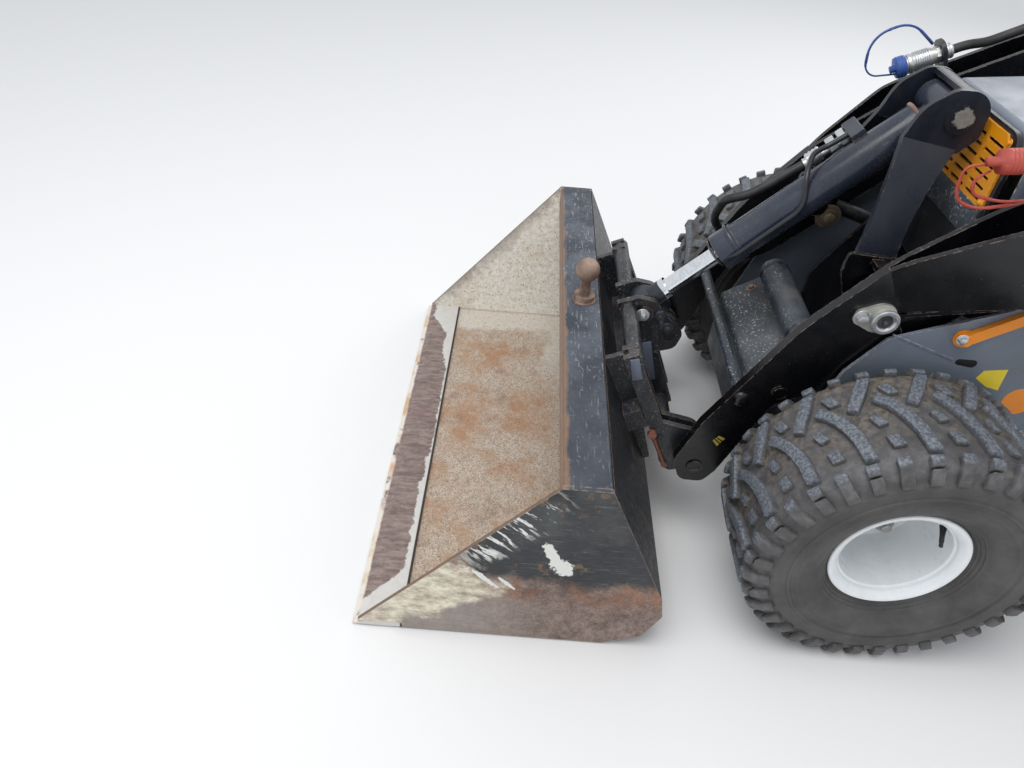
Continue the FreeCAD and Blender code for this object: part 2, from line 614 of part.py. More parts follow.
def arm_outline(low_edge):
    rear = [
        (ARM_PIVOT_Y, ARM_PIVOT_Z + ARM_BOSS_RADIUS + 14, 100),
        (ARM_PIVOT_Y + 60, ARM_PIVOT_Z + 56, 40), (ARM_PIVOT_Y + 60, ARM_PIVOT_Z - 62, 40),
        (ARM_PIVOT_Y - 40, ARM_PIVOT_Z - 62, 60),
    ]
    return ARM_TOP_EDGE + rear + low_edge


def arm():
    foot = [
        (HITCH_PIVOT_Y + 44, HITCH_PIVOT_Z - 10, 20),
        (HITCH_PIVOT_Y + 24, HITCH_PIVOT_Z - HITCH_END_RADIUS, 20),
        (HITCH_PIVOT_Y - 24, HITCH_PIVOT_Z - HITCH_END_RADIUS, 26),
        (HITCH_PIVOT_Y - 44, HITCH_PIVOT_Z + 12, 30), (-552, 331, 30),
    ]
    whole = arm_outline(ARM_LOW_EDGE + foot)
    inner = side_plate(whole, ARM_INNER_X, ARM_INNER_X + ARM_PLATE)
    bend_at_ground = BEND_Y - BEND_LEAN * BEND_Z
    ahead = plan_prism([(100, -2500), (600, -2500), (600, bend_at_ground), (100, bend_at_ground)],
                       0, 1400, BEND_LEAN)
    front = side_plate(whole, ARM_INNER_X + ARM_PLATE, ARM_FRONT_OUTER_X).common(ahead)

    flare_end = bend_at_ground + FLARE_LENGTH
    outer_skin = plan_prism([
        (ARM_INNER_X + ARM_PLATE, bend_at_ground), (ARM_FRONT_OUTER_X, bend_at_ground),
        (ARM_FLARED_X, flare_end, 60), (ARM_FLARED_X, 2000), (ARM_FLARED_X - ARM_PLATE, 2000),
        (ARM_FLARED_X - ARM_PLATE, flare_end, 60),
    ], 0, 1400, BEND_LEAN)
    box_low_edge = [(330, 905, 600), (60, 800, 600), (-120, 680, 200), (-420, 560)]
    box_outline = ARM_TOP_EDGE[1:] + arm_outline([])[len(ARM_TOP_EDGE):] + box_low_edge
    outer = side_plate(box_outline, ARM_INNER_X, ARM_FLARED_X + 5).common(outer_skin)

    between = plan_prism([
        (ARM_INNER_X + 1, bend_at_ground), (ARM_FRONT_OUTER_X - 1, bend_at_ground),
        (ARM_FLARED_X - 1, flare_end), (ARM_FLARED_X - 1, 2000), (ARM_INNER_X + 1, 2000),
    ], 0, 1400, BEND_LEAN)
    strip = [(y, z) for y, z, r in box_low_edge[:3]] + [(-290, 597)]
    strip = [(ARM_PIVOT_Y - 40, ARM_PIVOT_Z - 62)] + strip
    raised = [(y, z + 9) for y, z in reversed(strip)]
    flange = side_plate(strip + raised, ARM_INNER_X, ARM_FLARED_X + 5).common(between)
    boss = rod_x(ARM_PIVOT_Y, ARM_PIVOT_Z, ARM_BOSS_RADIUS, TOWER_OUTER_X + SIDE_GAP, ARM_FLARED_X + 2)
    bore = rod_x(ARM_PIVOT_Y, ARM_PIVOT_Z, ARM_PIN_RADIUS + RUNNING_FIT, 0, 400)
    ear = side_plate([
        (LIFT_PIN_Y - 30, LIFT_PIN_Z - 30, 20), (LIFT_PIN_Y - 54, LIFT_PIN_Z + 28, 10),
        (LIFT_PIN_Y - 52, LIFT_PIN_Z + 68, 8), (LIFT_PIN_Y + 44, LIFT_PIN_Z + 62),
        (LIFT_PIN_Y + 40, LIFT_PIN_Z - 35, 30),
    ], LIFT_EAR_X - LIFT_EAR_PLATE, LIFT_EAR_X)
    pin_end = rod_x(LIFT_PIN_Y, LIFT_PIN_Z, 22, LIFT_EAR_X - LIFT_EAR_PLATE - 7, LIFT_EAR_X - 1)
    bridge = box(LIFT_EAR_X - LIFT_EAR_PLATE, ARM_INNER_X + 1, LIFT_PIN_Y - 10, LIFT_PIN_Y + 44,
                 LIFT_PIN_Z + 50, LIFT_PIN_Z + 60)
    hitch_pin = rod_x(HITCH_PIVOT_Y, HITCH_PIVOT_Z, HITCH_PIN_RADIUS,
                      ARM_INNER_X - SIDE_GAP - HITCH_INNER_SETBACK + 2, ARM_FRONT_OUTER_X + 3)
    knob = rod_x(-430, 425, 13, ARM_FRONT_OUTER_X - 1, ARM_FRONT_OUTER_X + 7)
    return fused([inner, front, outer, flange, boss, ear, pin_end, bridge, hitch_pin, knob]).cut(bore)


def pin_retainer():
    keeper = side_plate([
        (LIFT_PIN_Y - 48, LIFT_PIN_Z + 12, 10), (LIFT_PIN_Y - 10, LIFT_PIN_Z + 30, 22),
        (LIFT_PIN_Y + 14, LIFT_PIN_Z + 25, 20), (LIFT_PIN_Y + 28, LIFT_PIN_Z - 22, 22),
        (LIFT_PIN_Y - 12, LIFT_PIN_Z - 28, 22), (LIFT_PIN_Y - 50, LIFT_PIN_Z - 10, 10),
    ], ARM_FRONT_OUTER_X, ARM_FRONT_OUTER_X + 6)
    collar = rod_x(LIFT_PIN_Y, LIFT_PIN_Z, 22, ARM_FRONT_OUTER_X + 5, ARM_FRONT_OUTER_X + 12)
    bolt = rod_x(LIFT_PIN_Y - 36, LIFT_PIN_Z, 8, ARM_FRONT_OUTER_X + 5, ARM_FRONT_OUTER_X + 12)
    return fused([keeper, collar, bolt])


# Portal between the arms that carries the tilt cylinder
def portal_wing():
    """Flat plate spreading from the portal's crease down to the inner ear of the lift pin."""
    front = Vector(EAR_INNER_X, TILT_TOP_Y - 80, 838)
    rear = Vector(EAR_INNER_X, TILT_TOP_Y + 18, 822)
    crease = rear - front
    foot_x = LIFT_EAR_X - LIFT_EAR_PLATE
    foot_front = Vector(foot_x, WING_FOOT_Y, WING_FOOT_Z)
    foot_rear = foot_front + crease * WING_FOOT_SHARE
    beyond_rear = foot_rear + (foot_rear - rear) * 0.15
    beyond_front = foot_front + (foot_front - front) * 0.15
    waist_rear = (rear + foot_rear) / 2 - crease * 0.12
    waist_front = (front + foot_front) / 2 + crease * 0.04
    outline = Part.Wire([
        Part.LineSegment(front, rear).toShape(),
        Part.Arc(rear, waist_rear, foot_rear).toShape(),
        Part.LineSegment(foot_rear, beyond_rear).toShape(),
        Part.LineSegment(beyond_rear, beyond_front).toShape(),
        Part.LineSegment(beyond_front, foot_front).toShape(),
        Part.Arc(foot_front, waist_front, front).toShape(),
    ])
    outward = (foot_front - front).cross(crease).normalize()
    wing = Part.Face(outline).extrude(outward * EAR_PLATE)
    return wing.common(box(EAR_INNER_X, foot_x, -600, 0, 400, 1000))


def portal():
    ear_outline = [
        (TILT_TOP_Y - 82, 832, 6), (TILT_TOP_Y - 62, TILT_TOP_Z + 16, 60),
        (TILT_TOP_Y - 20, TILT_TOP_Z + EAR_RADIUS, 30),
        (TILT_TOP_Y + EAR_RADIUS, TILT_TOP_Z + EAR_RADIUS, 42),
        (TILT_TOP_Y + EAR_RADIUS, TILT_TOP_Z - 30, 20), (TILT_TOP_Y + 20, 818, 6),
    ]
    ear = side_plate(ear_outline, EAR_INNER_X, EAR_INNER_X + EAR_PLATE)
    wing = portal_wing()
    saddle = ring_x(TILT_TOP_Y, TILT_TOP_Z, EAR_RADIUS, EAR_RADIUS - 8, -EAR_INNER_X, EAR_INNER_X)
    rear_half = box(-100, 100, TILT_TOP_Y - 10, TILT_TOP_Y + 100, TILT_TOP_Z - 20, TILT_TOP_Z + 100)
    saddle = saddle.common(rear_half)
    ear_outer_x = EAR_INNER_X + EAR_PLATE
    pin = rod_x(TILT_TOP_Y, TILT_TOP_Z, TILT_PIN_RADIUS, -ear_outer_x - 6, ear_outer_x + 6)
    head = rod_x(TILT_TOP_Y, TILT_TOP_Z, 24, ear_outer_x, ear_outer_x + 5)
    left = fused([ear, wing]).cut(rod_x(TILT_TOP_Y, TILT_TOP_Z, TILT_PIN_RADIUS, 0, 200))
    save("portal_left", left)
    save("portal_right", mirrored(left))
    save("tilt_pin", fused([pin, head, mirrored(head)]))
    save("portal_saddle", saddle)


# Couplers for attachments, one on each arm: direction in (y, z) away from the plate, and lengths along it
COUPLERS = {
    "left": {"out": (-242 - COUPLER_Y, 884 - COUPLER_Z), "body": 82, "cap": 32, "cap_radius": 18, "tip": 18},
    "right": {"out": (-188 - COUPLER_Y, 867 - COUPLER_Z), "body": 64, "cap": 18, "cap_radius": 20, "tip": 10},
}
# Where the caps' tethers run, as (y, z) on the coupler's own plane
TETHERS = {
    "left": [
        [(-262, 878), (-290, 872), (-284, 822), (-246, 808), (-178, 824), (-137, 858)],
        [(-250, 869), (-268, 855), (-262, 832), (-214, 822), (-170, 830), (-137, 866)],
    ],
    "right": [[(-200, 849), (-262, 838), (-272, 915), (-205, 948), (-150, 911)]],
}
# Hose from the coupler plate down into the arm's channel, as (x, y, z)
HOSE_ROUTE = [
    (COUPLER_X, -49, 921), (COUPLER_X, 60, 975), (COUPLER_X + 21, 190, 962), (COUPLER_X + 21, 420, 1022),
    (COUPLER_X + 21, 574, 1046), (ARM_INNER_X + ARM_PLATE + 1, 574, 1046),
]


def coupler(side):
    """Plate, coupler body with its nuts, and dust cap with its tethers, all drawn on the left arm."""
    spec = COUPLERS[side]
    base = Vector(COUPLER_X, COUPLER_Y, COUPLER_Z)
    out = Vector(0, *spec["out"]).normalize()
    up = Vector(0, out.z, -out.y)
    half_plate = COUPLER_PLATE / 2

    def along(start, end, radius):
        return rod_between(base + out * start, base + out * end, radius)

    foot = base - up * COUPLER_PLATE_FOOT
    inner_x = ARM_INNER_X
    outer_x = COUPLER_X + 26
    wire = rounded_wire([
        (inner_x, 0), (outer_x, 22, 10), (outer_x, COUPLER_PLATE_HEIGHT, 20),
        (inner_x, COUPLER_PLATE_HEIGHT, 20),
    ], lambda p: Vector(p.x, foot.y, foot.z) + up * p.y + out * half_plate)
    plate = Part.Face(wire).extrude(out * -COUPLER_PLATE)
    stem_hole = along(-half_plate - 1, half_plate + 1, COUPLER_NUT_RADIUS - 3)
    plate = plate.cut(stem_hole)

    collar = half_plate + 9
    grip_start = collar + 6
    body = [
        along(-half_plate - 14, collar, COUPLER_NUT_RADIUS - 3),
        along(half_plate, collar, COUPLER_NUT_RADIUS),
        along(-half_plate - 14, -half_plate, COUPLER_NUT_RADIUS - 1),
        along(collar, half_plate + spec["body"], COUPLER_BODY_RADIUS - 2),
        along(grip_start, half_plate + spec["body"] - 12, COUPLER_BODY_RADIUS),
    ]
    cap_start = half_plate + spec["body"]
    cap_end = cap_start + spec["cap"]
    cap = [along(cap_start, cap_end, spec["cap_radius"]), along(cap_end - 1, cap_end + spec["tip"], 7)]
    for points in TETHERS[side]:
        cap.append(bent_rod([(COUPLER_X, y, z) for y, z in points], TETHER_RADIUS))
    hose_start = base - out * (half_plate + 14)
    hose = bent_rod([tuple(hose_start), tuple(hose_start - out * 30)] + HOSE_ROUTE, HOSE_RADIUS)
    return plate, fused(body), fused(cap), hose


def couplers(left_arm):
    plates = []
    bodies = []
    hoses = []
    for side, place in (("left", lambda shape: shape), ("right", mirrored)):
        plate, body, cap, hose = coupler(side)
        plates.append(place(plate.cut(left_arm)))
        bodies.append(place(body))
        hoses.append(place(hose))
        save("coupler_cap_%s" % side, place(cap))
    save("coupler_plates", *plates)
    save("couplers", *bodies)
    save("arm_hoses", *hoses)


# Sleeved hose of the tilt cylinder, from the fitting on its barrel down to the right arm
def tilt_hose():
    top, along, off = tilt_frame()
    start = top + along * TILT_FITTING_END + off * TILT_FITTING_OFF + Vector(-TILT_PORT_X, 0, 0)
    mouth = (start - Vector(-TILT_PORT_X, top.y, top.z)).normalize()
    begin = start + mouth * SEAT
    arm_x = -ARM_INNER_X
    route = [tuple(begin), tuple(begin + mouth * 110), (-70, -528, 640), (arm_x + 90, -520, 560),
             (arm_x + 40, -478, 500), (arm_x + 40, -450, 465), (arm_x, -450, 465)]
    save("tilt_hose", bent_rod(route, HOSE_RADIUS))


def loader_arms():
    left = arm()
    couplers(left)
    tilt_hose()
    save("arm_left", left)
    save("arm_right", mirrored(left))
    retainer = pin_retainer()
    save("pin_retainers", retainer, mirrored(retainer))
    save("cross_tube", rod_x(CROSS_TUBE_Y, CROSS_TUBE_Z, CROSS_TUBE_RADIUS, -ARM_INNER_X, ARM_INNER_X))
    portal()


def unit_between(y0, z0, y1, z1):
    return Vector(0, y1 - y0, z1 - z0).normalize()


def tilt_frame():
    """The tilt cylinder's upper pin, its direction, and the direction off its upper side."""
    top = Vector(0, TILT_TOP_Y, TILT_TOP_Z)
    along = (Vector(0, LINK_PIN_Y, LINK_PIN_Z) - top).normalize()
    return top, along, Vector(0, along.z, -along.y)


def tilt_pipework(barrel, reach):
    """Elbow to the hose and the hard line that crosses over the barrel to its gland."""
    top, along, off = tilt_frame()

    def spot(x, on, rise):
        return top + along * on + off * rise + Vector(x, 0, 0)

    block_end = TILT_PORT_END
    elbow = [
        rod_between(spot(-TILT_PORT_X, block_end, 22), spot(-TILT_PORT_X, block_end + 30, 22), 11),
        rod_between(spot(-TILT_PORT_X, block_end + 29, 22), spot(-TILT_PORT_X, TILT_FITTING_END - 26, 24), 7),
    ]
    start = spot(-TILT_PORT_X, TILT_FITTING_END, TILT_FITTING_OFF)
    mouth = (start - Vector(-TILT_PORT_X, top.y, top.z)).normalize()
    ferrule = rod_between(start - mouth * 30, start, HOSE_RADIUS + 2)
    line = bent_rod([
        tuple(spot(-40, block_end, 36)), tuple(spot(-40, block_end + 38, 40)), tuple(spot(-26, 208, 52)),
        tuple(spot(22, 236, 50)), tuple(spot(44, 268, 6)), tuple(spot(44, reach - 30, 1)),
        tuple(spot(37, reach - 16, 0)),
    ], 5, 0.42)
    save("tilt_pipework", fused(elbow + [ferrule]).cut(barrel), line.cut(barrel))


def tilt_cylinder():
    top, along, off = tilt_frame()
    foot = Vector(0, LINK_PIN_Y, LINK_PIN_Z)
    length = (foot - top).Length
    reach = length - TILT_ROD_SHOWN
    tube = Part.makeCylinder(TILT_BARREL_RADIUS, reach - 40, top + along * 40, along)
    gland = Part.makeCylinder(TILT_BARREL_RADIUS + 3, 45, top + along * (reach - 45), along)
    neck = Part.makeCylinder(20, 45, top, along)
    eye = rod_x(TILT_TOP_Y, TILT_TOP_Z, 31, -45, 45)
    port = [top + along * on + off * rise for on, rise in
            ((TILT_PORT_END - 26, 4), (TILT_PORT_END, 4), (TILT_PORT_END, 44), (TILT_PORT_END - 26, 44))]
    block = side_plate([(p.y, p.z, 3) for p in port], -TILT_PORT_X - 14, -10)
    barrel = fused([tube, gland, neck, eye, block])
    barrel = barrel.cut(rod_x(TILT_TOP_Y, TILT_TOP_Z, TILT_PIN_RADIUS + RUNNING_FIT, -60, 60))
    rod_bore = Part.makeCylinder(TILT_ROD_RADIUS + RUNNING_FIT, reach - 60, top + along * 62, along)
    save("tilt_barrel", barrel.cut(rod_bore))
    tilt_pipework(barrel, reach)

    half_eye = LINK_GAP / 2 - 5
    rod_length = TILT_ROD_SHOWN + 200
    rod = Part.makeCylinder(TILT_ROD_RADIUS, rod_length, foot - along * rod_length, along)
    collar = Part.makeCylinder(TILT_ROD_RADIUS + 5, 40, foot - along * 60, along)
    rod_eye = rod_x(LINK_PIN_Y, LINK_PIN_Z, LINK_EYE_RADIUS, -half_eye, half_eye)
    save("tilt_rod", fused([rod, collar, rod_eye]))


def lift_cylinders():
    base = Vector(LIFT_X, LIFT_BASE_Y, LIFT_BASE_Z)
    end = Vector(LIFT_X, LIFT_PIN_Y, LIFT_PIN_Z)
    along = (end - base).normalize()
    reach = (end - base).Length
    barrel_length = reach - LIFT_ROD_SHOWN
    tube = Part.makeCylinder(LIFT_BARREL_RADIUS, barrel_length - 40, base + along * 40, along)
    neck = Part.makeCylinder(18, 45, base, along)
    eye = rod_x(LIFT_BASE_Y, LIFT_BASE_Z, LIFT_EYE_RADIUS, LIFT_X - LIFT_BARREL_RADIUS,
                LIFT_X + LIFT_BARREL_RADIUS)
    barrel = fused([tube, neck, eye])
    barrel = barrel.cut(rod_x(LIFT_BASE_Y, LIFT_BASE_Z, LIFT_PIN_RADIUS + RUNNING_FIT, 100, 300))
    bore_radius = LIFT_ROD_RADIUS + RUNNING_FIT
    rod_bore = Part.makeCylinder(bore_radius, barrel_length - 60, base + along * 62, along)
    barrel = barrel.cut(rod_bore)
    save("lift_barrel_left", barrel)
    save("lift_barrel_right", mirrored(barrel))

    half_eye = LIFT_BARREL_RADIUS - 3
    rod = Part.makeCylinder(LIFT_ROD_RADIUS, reach - 90, base + along * 90, along)
    rod_eye = rod_x(LIFT_PIN_Y, LIFT_PIN_Z, LIFT_EYE_RADIUS, LIFT_X - half_eye, LIFT_X + half_eye)
    rod = fused([rod, rod_eye])
    save("lift_rod_left", rod)
    save("lift_rod_right", mirrored(rod))


# Bucket profile seen from the side: floor, chamfered heel, back, top rail and the slanted side edge
BUCKET_TIP = (FRONT_TIP_Y, BUCKET_FLOOR_Z)
BUCKET_FLOOR_END = (-715, BUCKET_FLOOR_Z)
BUCKET_HEEL = (-644, 36)
BUCKET_HEEL_TOP = (-615, 103)
BUCKET_BACK_LOW = (-625, 155)
BUCKET_BACK_TOP = (-750, 424)
BUCKET_RAIL_FRONT = (-750 - RAIL_DEPTH, 424)


def bucket():
    outside = [BUCKET_TIP, BUCKET_FLOOR_END, BUCKET_HEEL, BUCKET_HEEL_TOP, BUCKET_BACK_LOW, BUCKET_BACK_TOP]
    side = [BUCKET_TIP, BUCKET_FLOOR_END, BUCKET_HEEL, BUCKET_HEEL_TOP + (15,), BUCKET_BACK_LOW + (25,),
            BUCKET_BACK_TOP, BUCKET_RAIL_FRONT]
    skin = side_plate(outside[:3] + [BUCKET_HEEL_TOP + (15,), BUCKET_BACK_LOW + (25,), BUCKET_BACK_TOP,
                                     (-1300, 424), (-1300, BUCKET_FLOOR_Z)], -BUCKET_HALF, BUCKET_HALF)
    plate = BUCKET_PLATE
    inside = side_plate([
        (-1400, BUCKET_FLOOR_Z + plate), (-715 - 1, BUCKET_FLOOR_Z + plate), (-644 - 4, 36 + plate),
        (-615 - plate, 104, 12), (-625 - plate, 154, 20), (-750 - plate, 424), (-750 - plate, 700),
        (-1400, 700),
    ], -BUCKET_HALF - 1, BUCKET_HALF + 1)
    edge_seat = box(-BUCKET_HALF - 1, BUCKET_HALF + 1, -1400, FRONT_TIP_Y + EDGE_DEPTH, 0, 100)
    sheet = skin.cut(inside).cut(edge_seat)
    end = side_plate(side, BUCKET_HALF - BUCKET_SIDE_PLATE, BUCKET_HALF)
    edge_room = box(-BUCKET_HALF - 1, BUCKET_HALF + 1, -1400, FRONT_TIP_Y + EDGE_DEPTH, 0,
                    BUCKET_FLOOR_Z + EDGE_THICKNESS)
    end = end.cut(edge_room)
    rail_room = side_plate([
        BUCKET_RAIL_FRONT, BUCKET_BACK_TOP, (-750 + 5, 424 - RAIL_HEIGHT),
        (-750 - RAIL_DEPTH, 424 - RAIL_HEIGHT),
    ], -BUCKET_HALF + BUCKET_SIDE_PLATE, BUCKET_HALF - BUCKET_SIDE_PLATE)
    save("bucket_shell", fused([sheet.cut(rail_room), end, mirrored(end)]))

    rail = side_plate([
        (BUCKET_RAIL_FRONT[0], BUCKET_RAIL_FRONT[1], 8), (-750, 424, 6),
        (-750 + 5, 424 - RAIL_HEIGHT), (-750 - RAIL_DEPTH, 424 - RAIL_HEIGHT, 8),
    ], -BUCKET_HALF + BUCKET_SIDE_PLATE, BUCKET_HALF - BUCKET_SIDE_PLATE)
    save("bucket_rail", rail.common(rail_room))
    edge = side_plate([
        (FRONT_TIP_Y, BUCKET_FLOOR_Z), (FRONT_TIP_Y + EDGE_DEPTH, BUCKET_FLOOR_Z),
        (FRONT_TIP_Y + EDGE_DEPTH, BUCKET_FLOOR_Z + EDGE_THICKNESS),
        (FRONT_TIP_Y + 26, BUCKET_FLOOR_Z + EDGE_THICKNESS), (FRONT_TIP_Y, BUCKET_FLOOR_Z + 3),
    ], -BUCKET_HALF, BUCKET_HALF)
    save("cutting_edge", edge)

    rail_top = BUCKET_BACK_TOP[1]
    neck = Part.makeCylinder(11, 60, Vector(0, BALL_Y, rail_top), Vector(0, 0, 1))
    foot = Part.makeCylinder(22, 14, Vector(0, BALL_Y, rail_top), Vector(0, 0, 1))
    ball = Part.makeSphere(BALL_RADIUS, Vector(0, BALL_Y, rail_top + 72))
    save("tow_ball", fused([foot, neck, ball]))


# Quick hitch between the bucket and the arms
LEVER_PIVOT = (-633, 264)
LEVER_TIP = (-593, 181)
LEVER_RADIUS = 4.0


def hitch():
    slope = unit_between(*BUCKET_BACK_LOW, *BUCKET_BACK_TOP)
    out = Vector(0, slope.z, -slope.y)

    def on_back(along, off, radius=0):
        p = Vector(0, *BUCKET_BACK_LOW) + slope * along + out * off
        return (p.y, p.z, radius)

    half = ARM_INNER_X - SIDE_GAP
    back_length = math.dist(BUCKET_BACK_LOW, BUCKET_BACK_TOP)
    hook_outline = [
        on_back(10, 0), on_back(back_length - 6, 0), on_back(back_length - 6, FRAME_OFFSET),
        on_back(back_length - 90, FRAME_OFFSET), on_back(10, 12),
    ]
    hook_x = half - HITCH_INNER_SETBACK
    hook = side_plate(hook_outline, hook_x, hook_x + HITCH_PLATE)
    tube_end = SQUARE_TUBE_ALONG + SQUARE_TUBE
    tube = side_plate([
        on_back(SQUARE_TUBE_ALONG, 0), on_back(SQUARE_TUBE_ALONG, FRAME_OFFSET - 1, 5),
        on_back(tube_end, FRAME_OFFSET - 1, 5), on_back(tube_end, 0),
    ], -half, half)
    save("bucket_brackets", fused([tube, hook, mirrored(hook)]))

    frame_side = [
        on_back(-4, FRAME_OFFSET), on_back(back_length + 4, FRAME_OFFSET), on_back(back_length + 4, 67),
        on_back(120, 67),
        (HITCH_PIVOT_Y, HITCH_PIVOT_Z + 60, 40), (HITCH_PIVOT_Y + 32, HITCH_PIVOT_Z + 10, 26),
        (HITCH_PIVOT_Y + 20, HITCH_PIVOT_Z - 34, 26), (HITCH_PIVOT_Y - 36, HITCH_PIVOT_Z - 54, 8),
    ]
    plates = []
    for x in (half - HITCH_OUTER_SETBACK, half - HITCH_INNER_SETBACK):
        plate = side_plate(frame_side, x, x + HITCH_PLATE)
        plates += [plate, mirrored(plate)]
    low_y, low_z = on_back(22, 52)[:2]
    bar_end = half - HITCH_OUTER_SETBACK + HITCH_PLATE
    low_bar = rod_x(low_y, low_z, 20, -bar_end, bar_end)
    top_y, top_z = on_back(back_length - 14, FRAME_OFFSET + 18)[:2]
    top_bars = []
    for sign in (1, -1):
        x0, x1 = sorted((sign * (LINK_GAP / 2 + 2), sign * bar_end))
        top_bars.append(rod_x(top_y, top_z, 17, x0, x1))
    link = [
        on_back(10, FRAME_OFFSET), on_back(back_length + 6, FRAME_OFFSET),
        (LINK_PIN_Y - 20, LINK_PIN_Z + 34, 26),
        (LINK_PIN_Y + 32, LINK_PIN_Z + 26, 26), (LINK_PIN_Y + 30, LINK_PIN_Z - 36, 26), on_back(150, 84),
        on_back(10, 78),
    ]
    ears = []
    for x in (LINK_GAP / 2, -LINK_GAP / 2 - LINK_PLATE):
        ears.append(side_plate(link, x, x + LINK_PLATE))
    heads = []
    for sign in (1, -1):
        x0, x1 = sorted((sign * (LINK_GAP / 2 + LINK_PLATE - 1), sign * (LINK_GAP / 2 + LINK_PLATE + 8)))
        heads.append(rod_x(LINK_PIN_Y, LINK_PIN_Z, 15, x0, x1))
    frame = fused(plates + [low_bar] + top_bars + ears + heads)
    bore = rod_x(HITCH_PIVOT_Y, HITCH_PIVOT_Z, HITCH_PIN_RADIUS + RUNNING_FIT, -300, 300)
    save("hitch_frame", frame.cut(bore))

    pivot = rod_x(*LEVER_PIVOT, LEVER_RADIUS + 5, bar_end, bar_end + 2 * LEVER_RADIUS + 1)
    lever_x = bar_end + LEVER_RADIUS + 0.5
    top = Vector(lever_x, *LEVER_PIVOT)
    tip = Vector(lever_x, *LEVER_TIP)
    knob = rod_x(*LEVER_TIP, LEVER_RADIUS + 2, lever_x - LEVER_RADIUS + 1, lever_x + LEVER_RADIUS - 1)
    lever = fused([pivot, rod_between(top, tip, LEVER_RADIUS), knob])
    save("hitch_locks", lever, mirrored(lever))


if __name__ == "__main__":
    os.makedirs("parts", exist_ok=True)
    wheels()
    hub_motors()
    chassis()
    grille()
    bonnet()
    console()
    platform()
    loader_arms()
    tilt_cylinder()
    lift_cylinders()
    bucket()
    hitch()
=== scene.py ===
# %% [markdown]
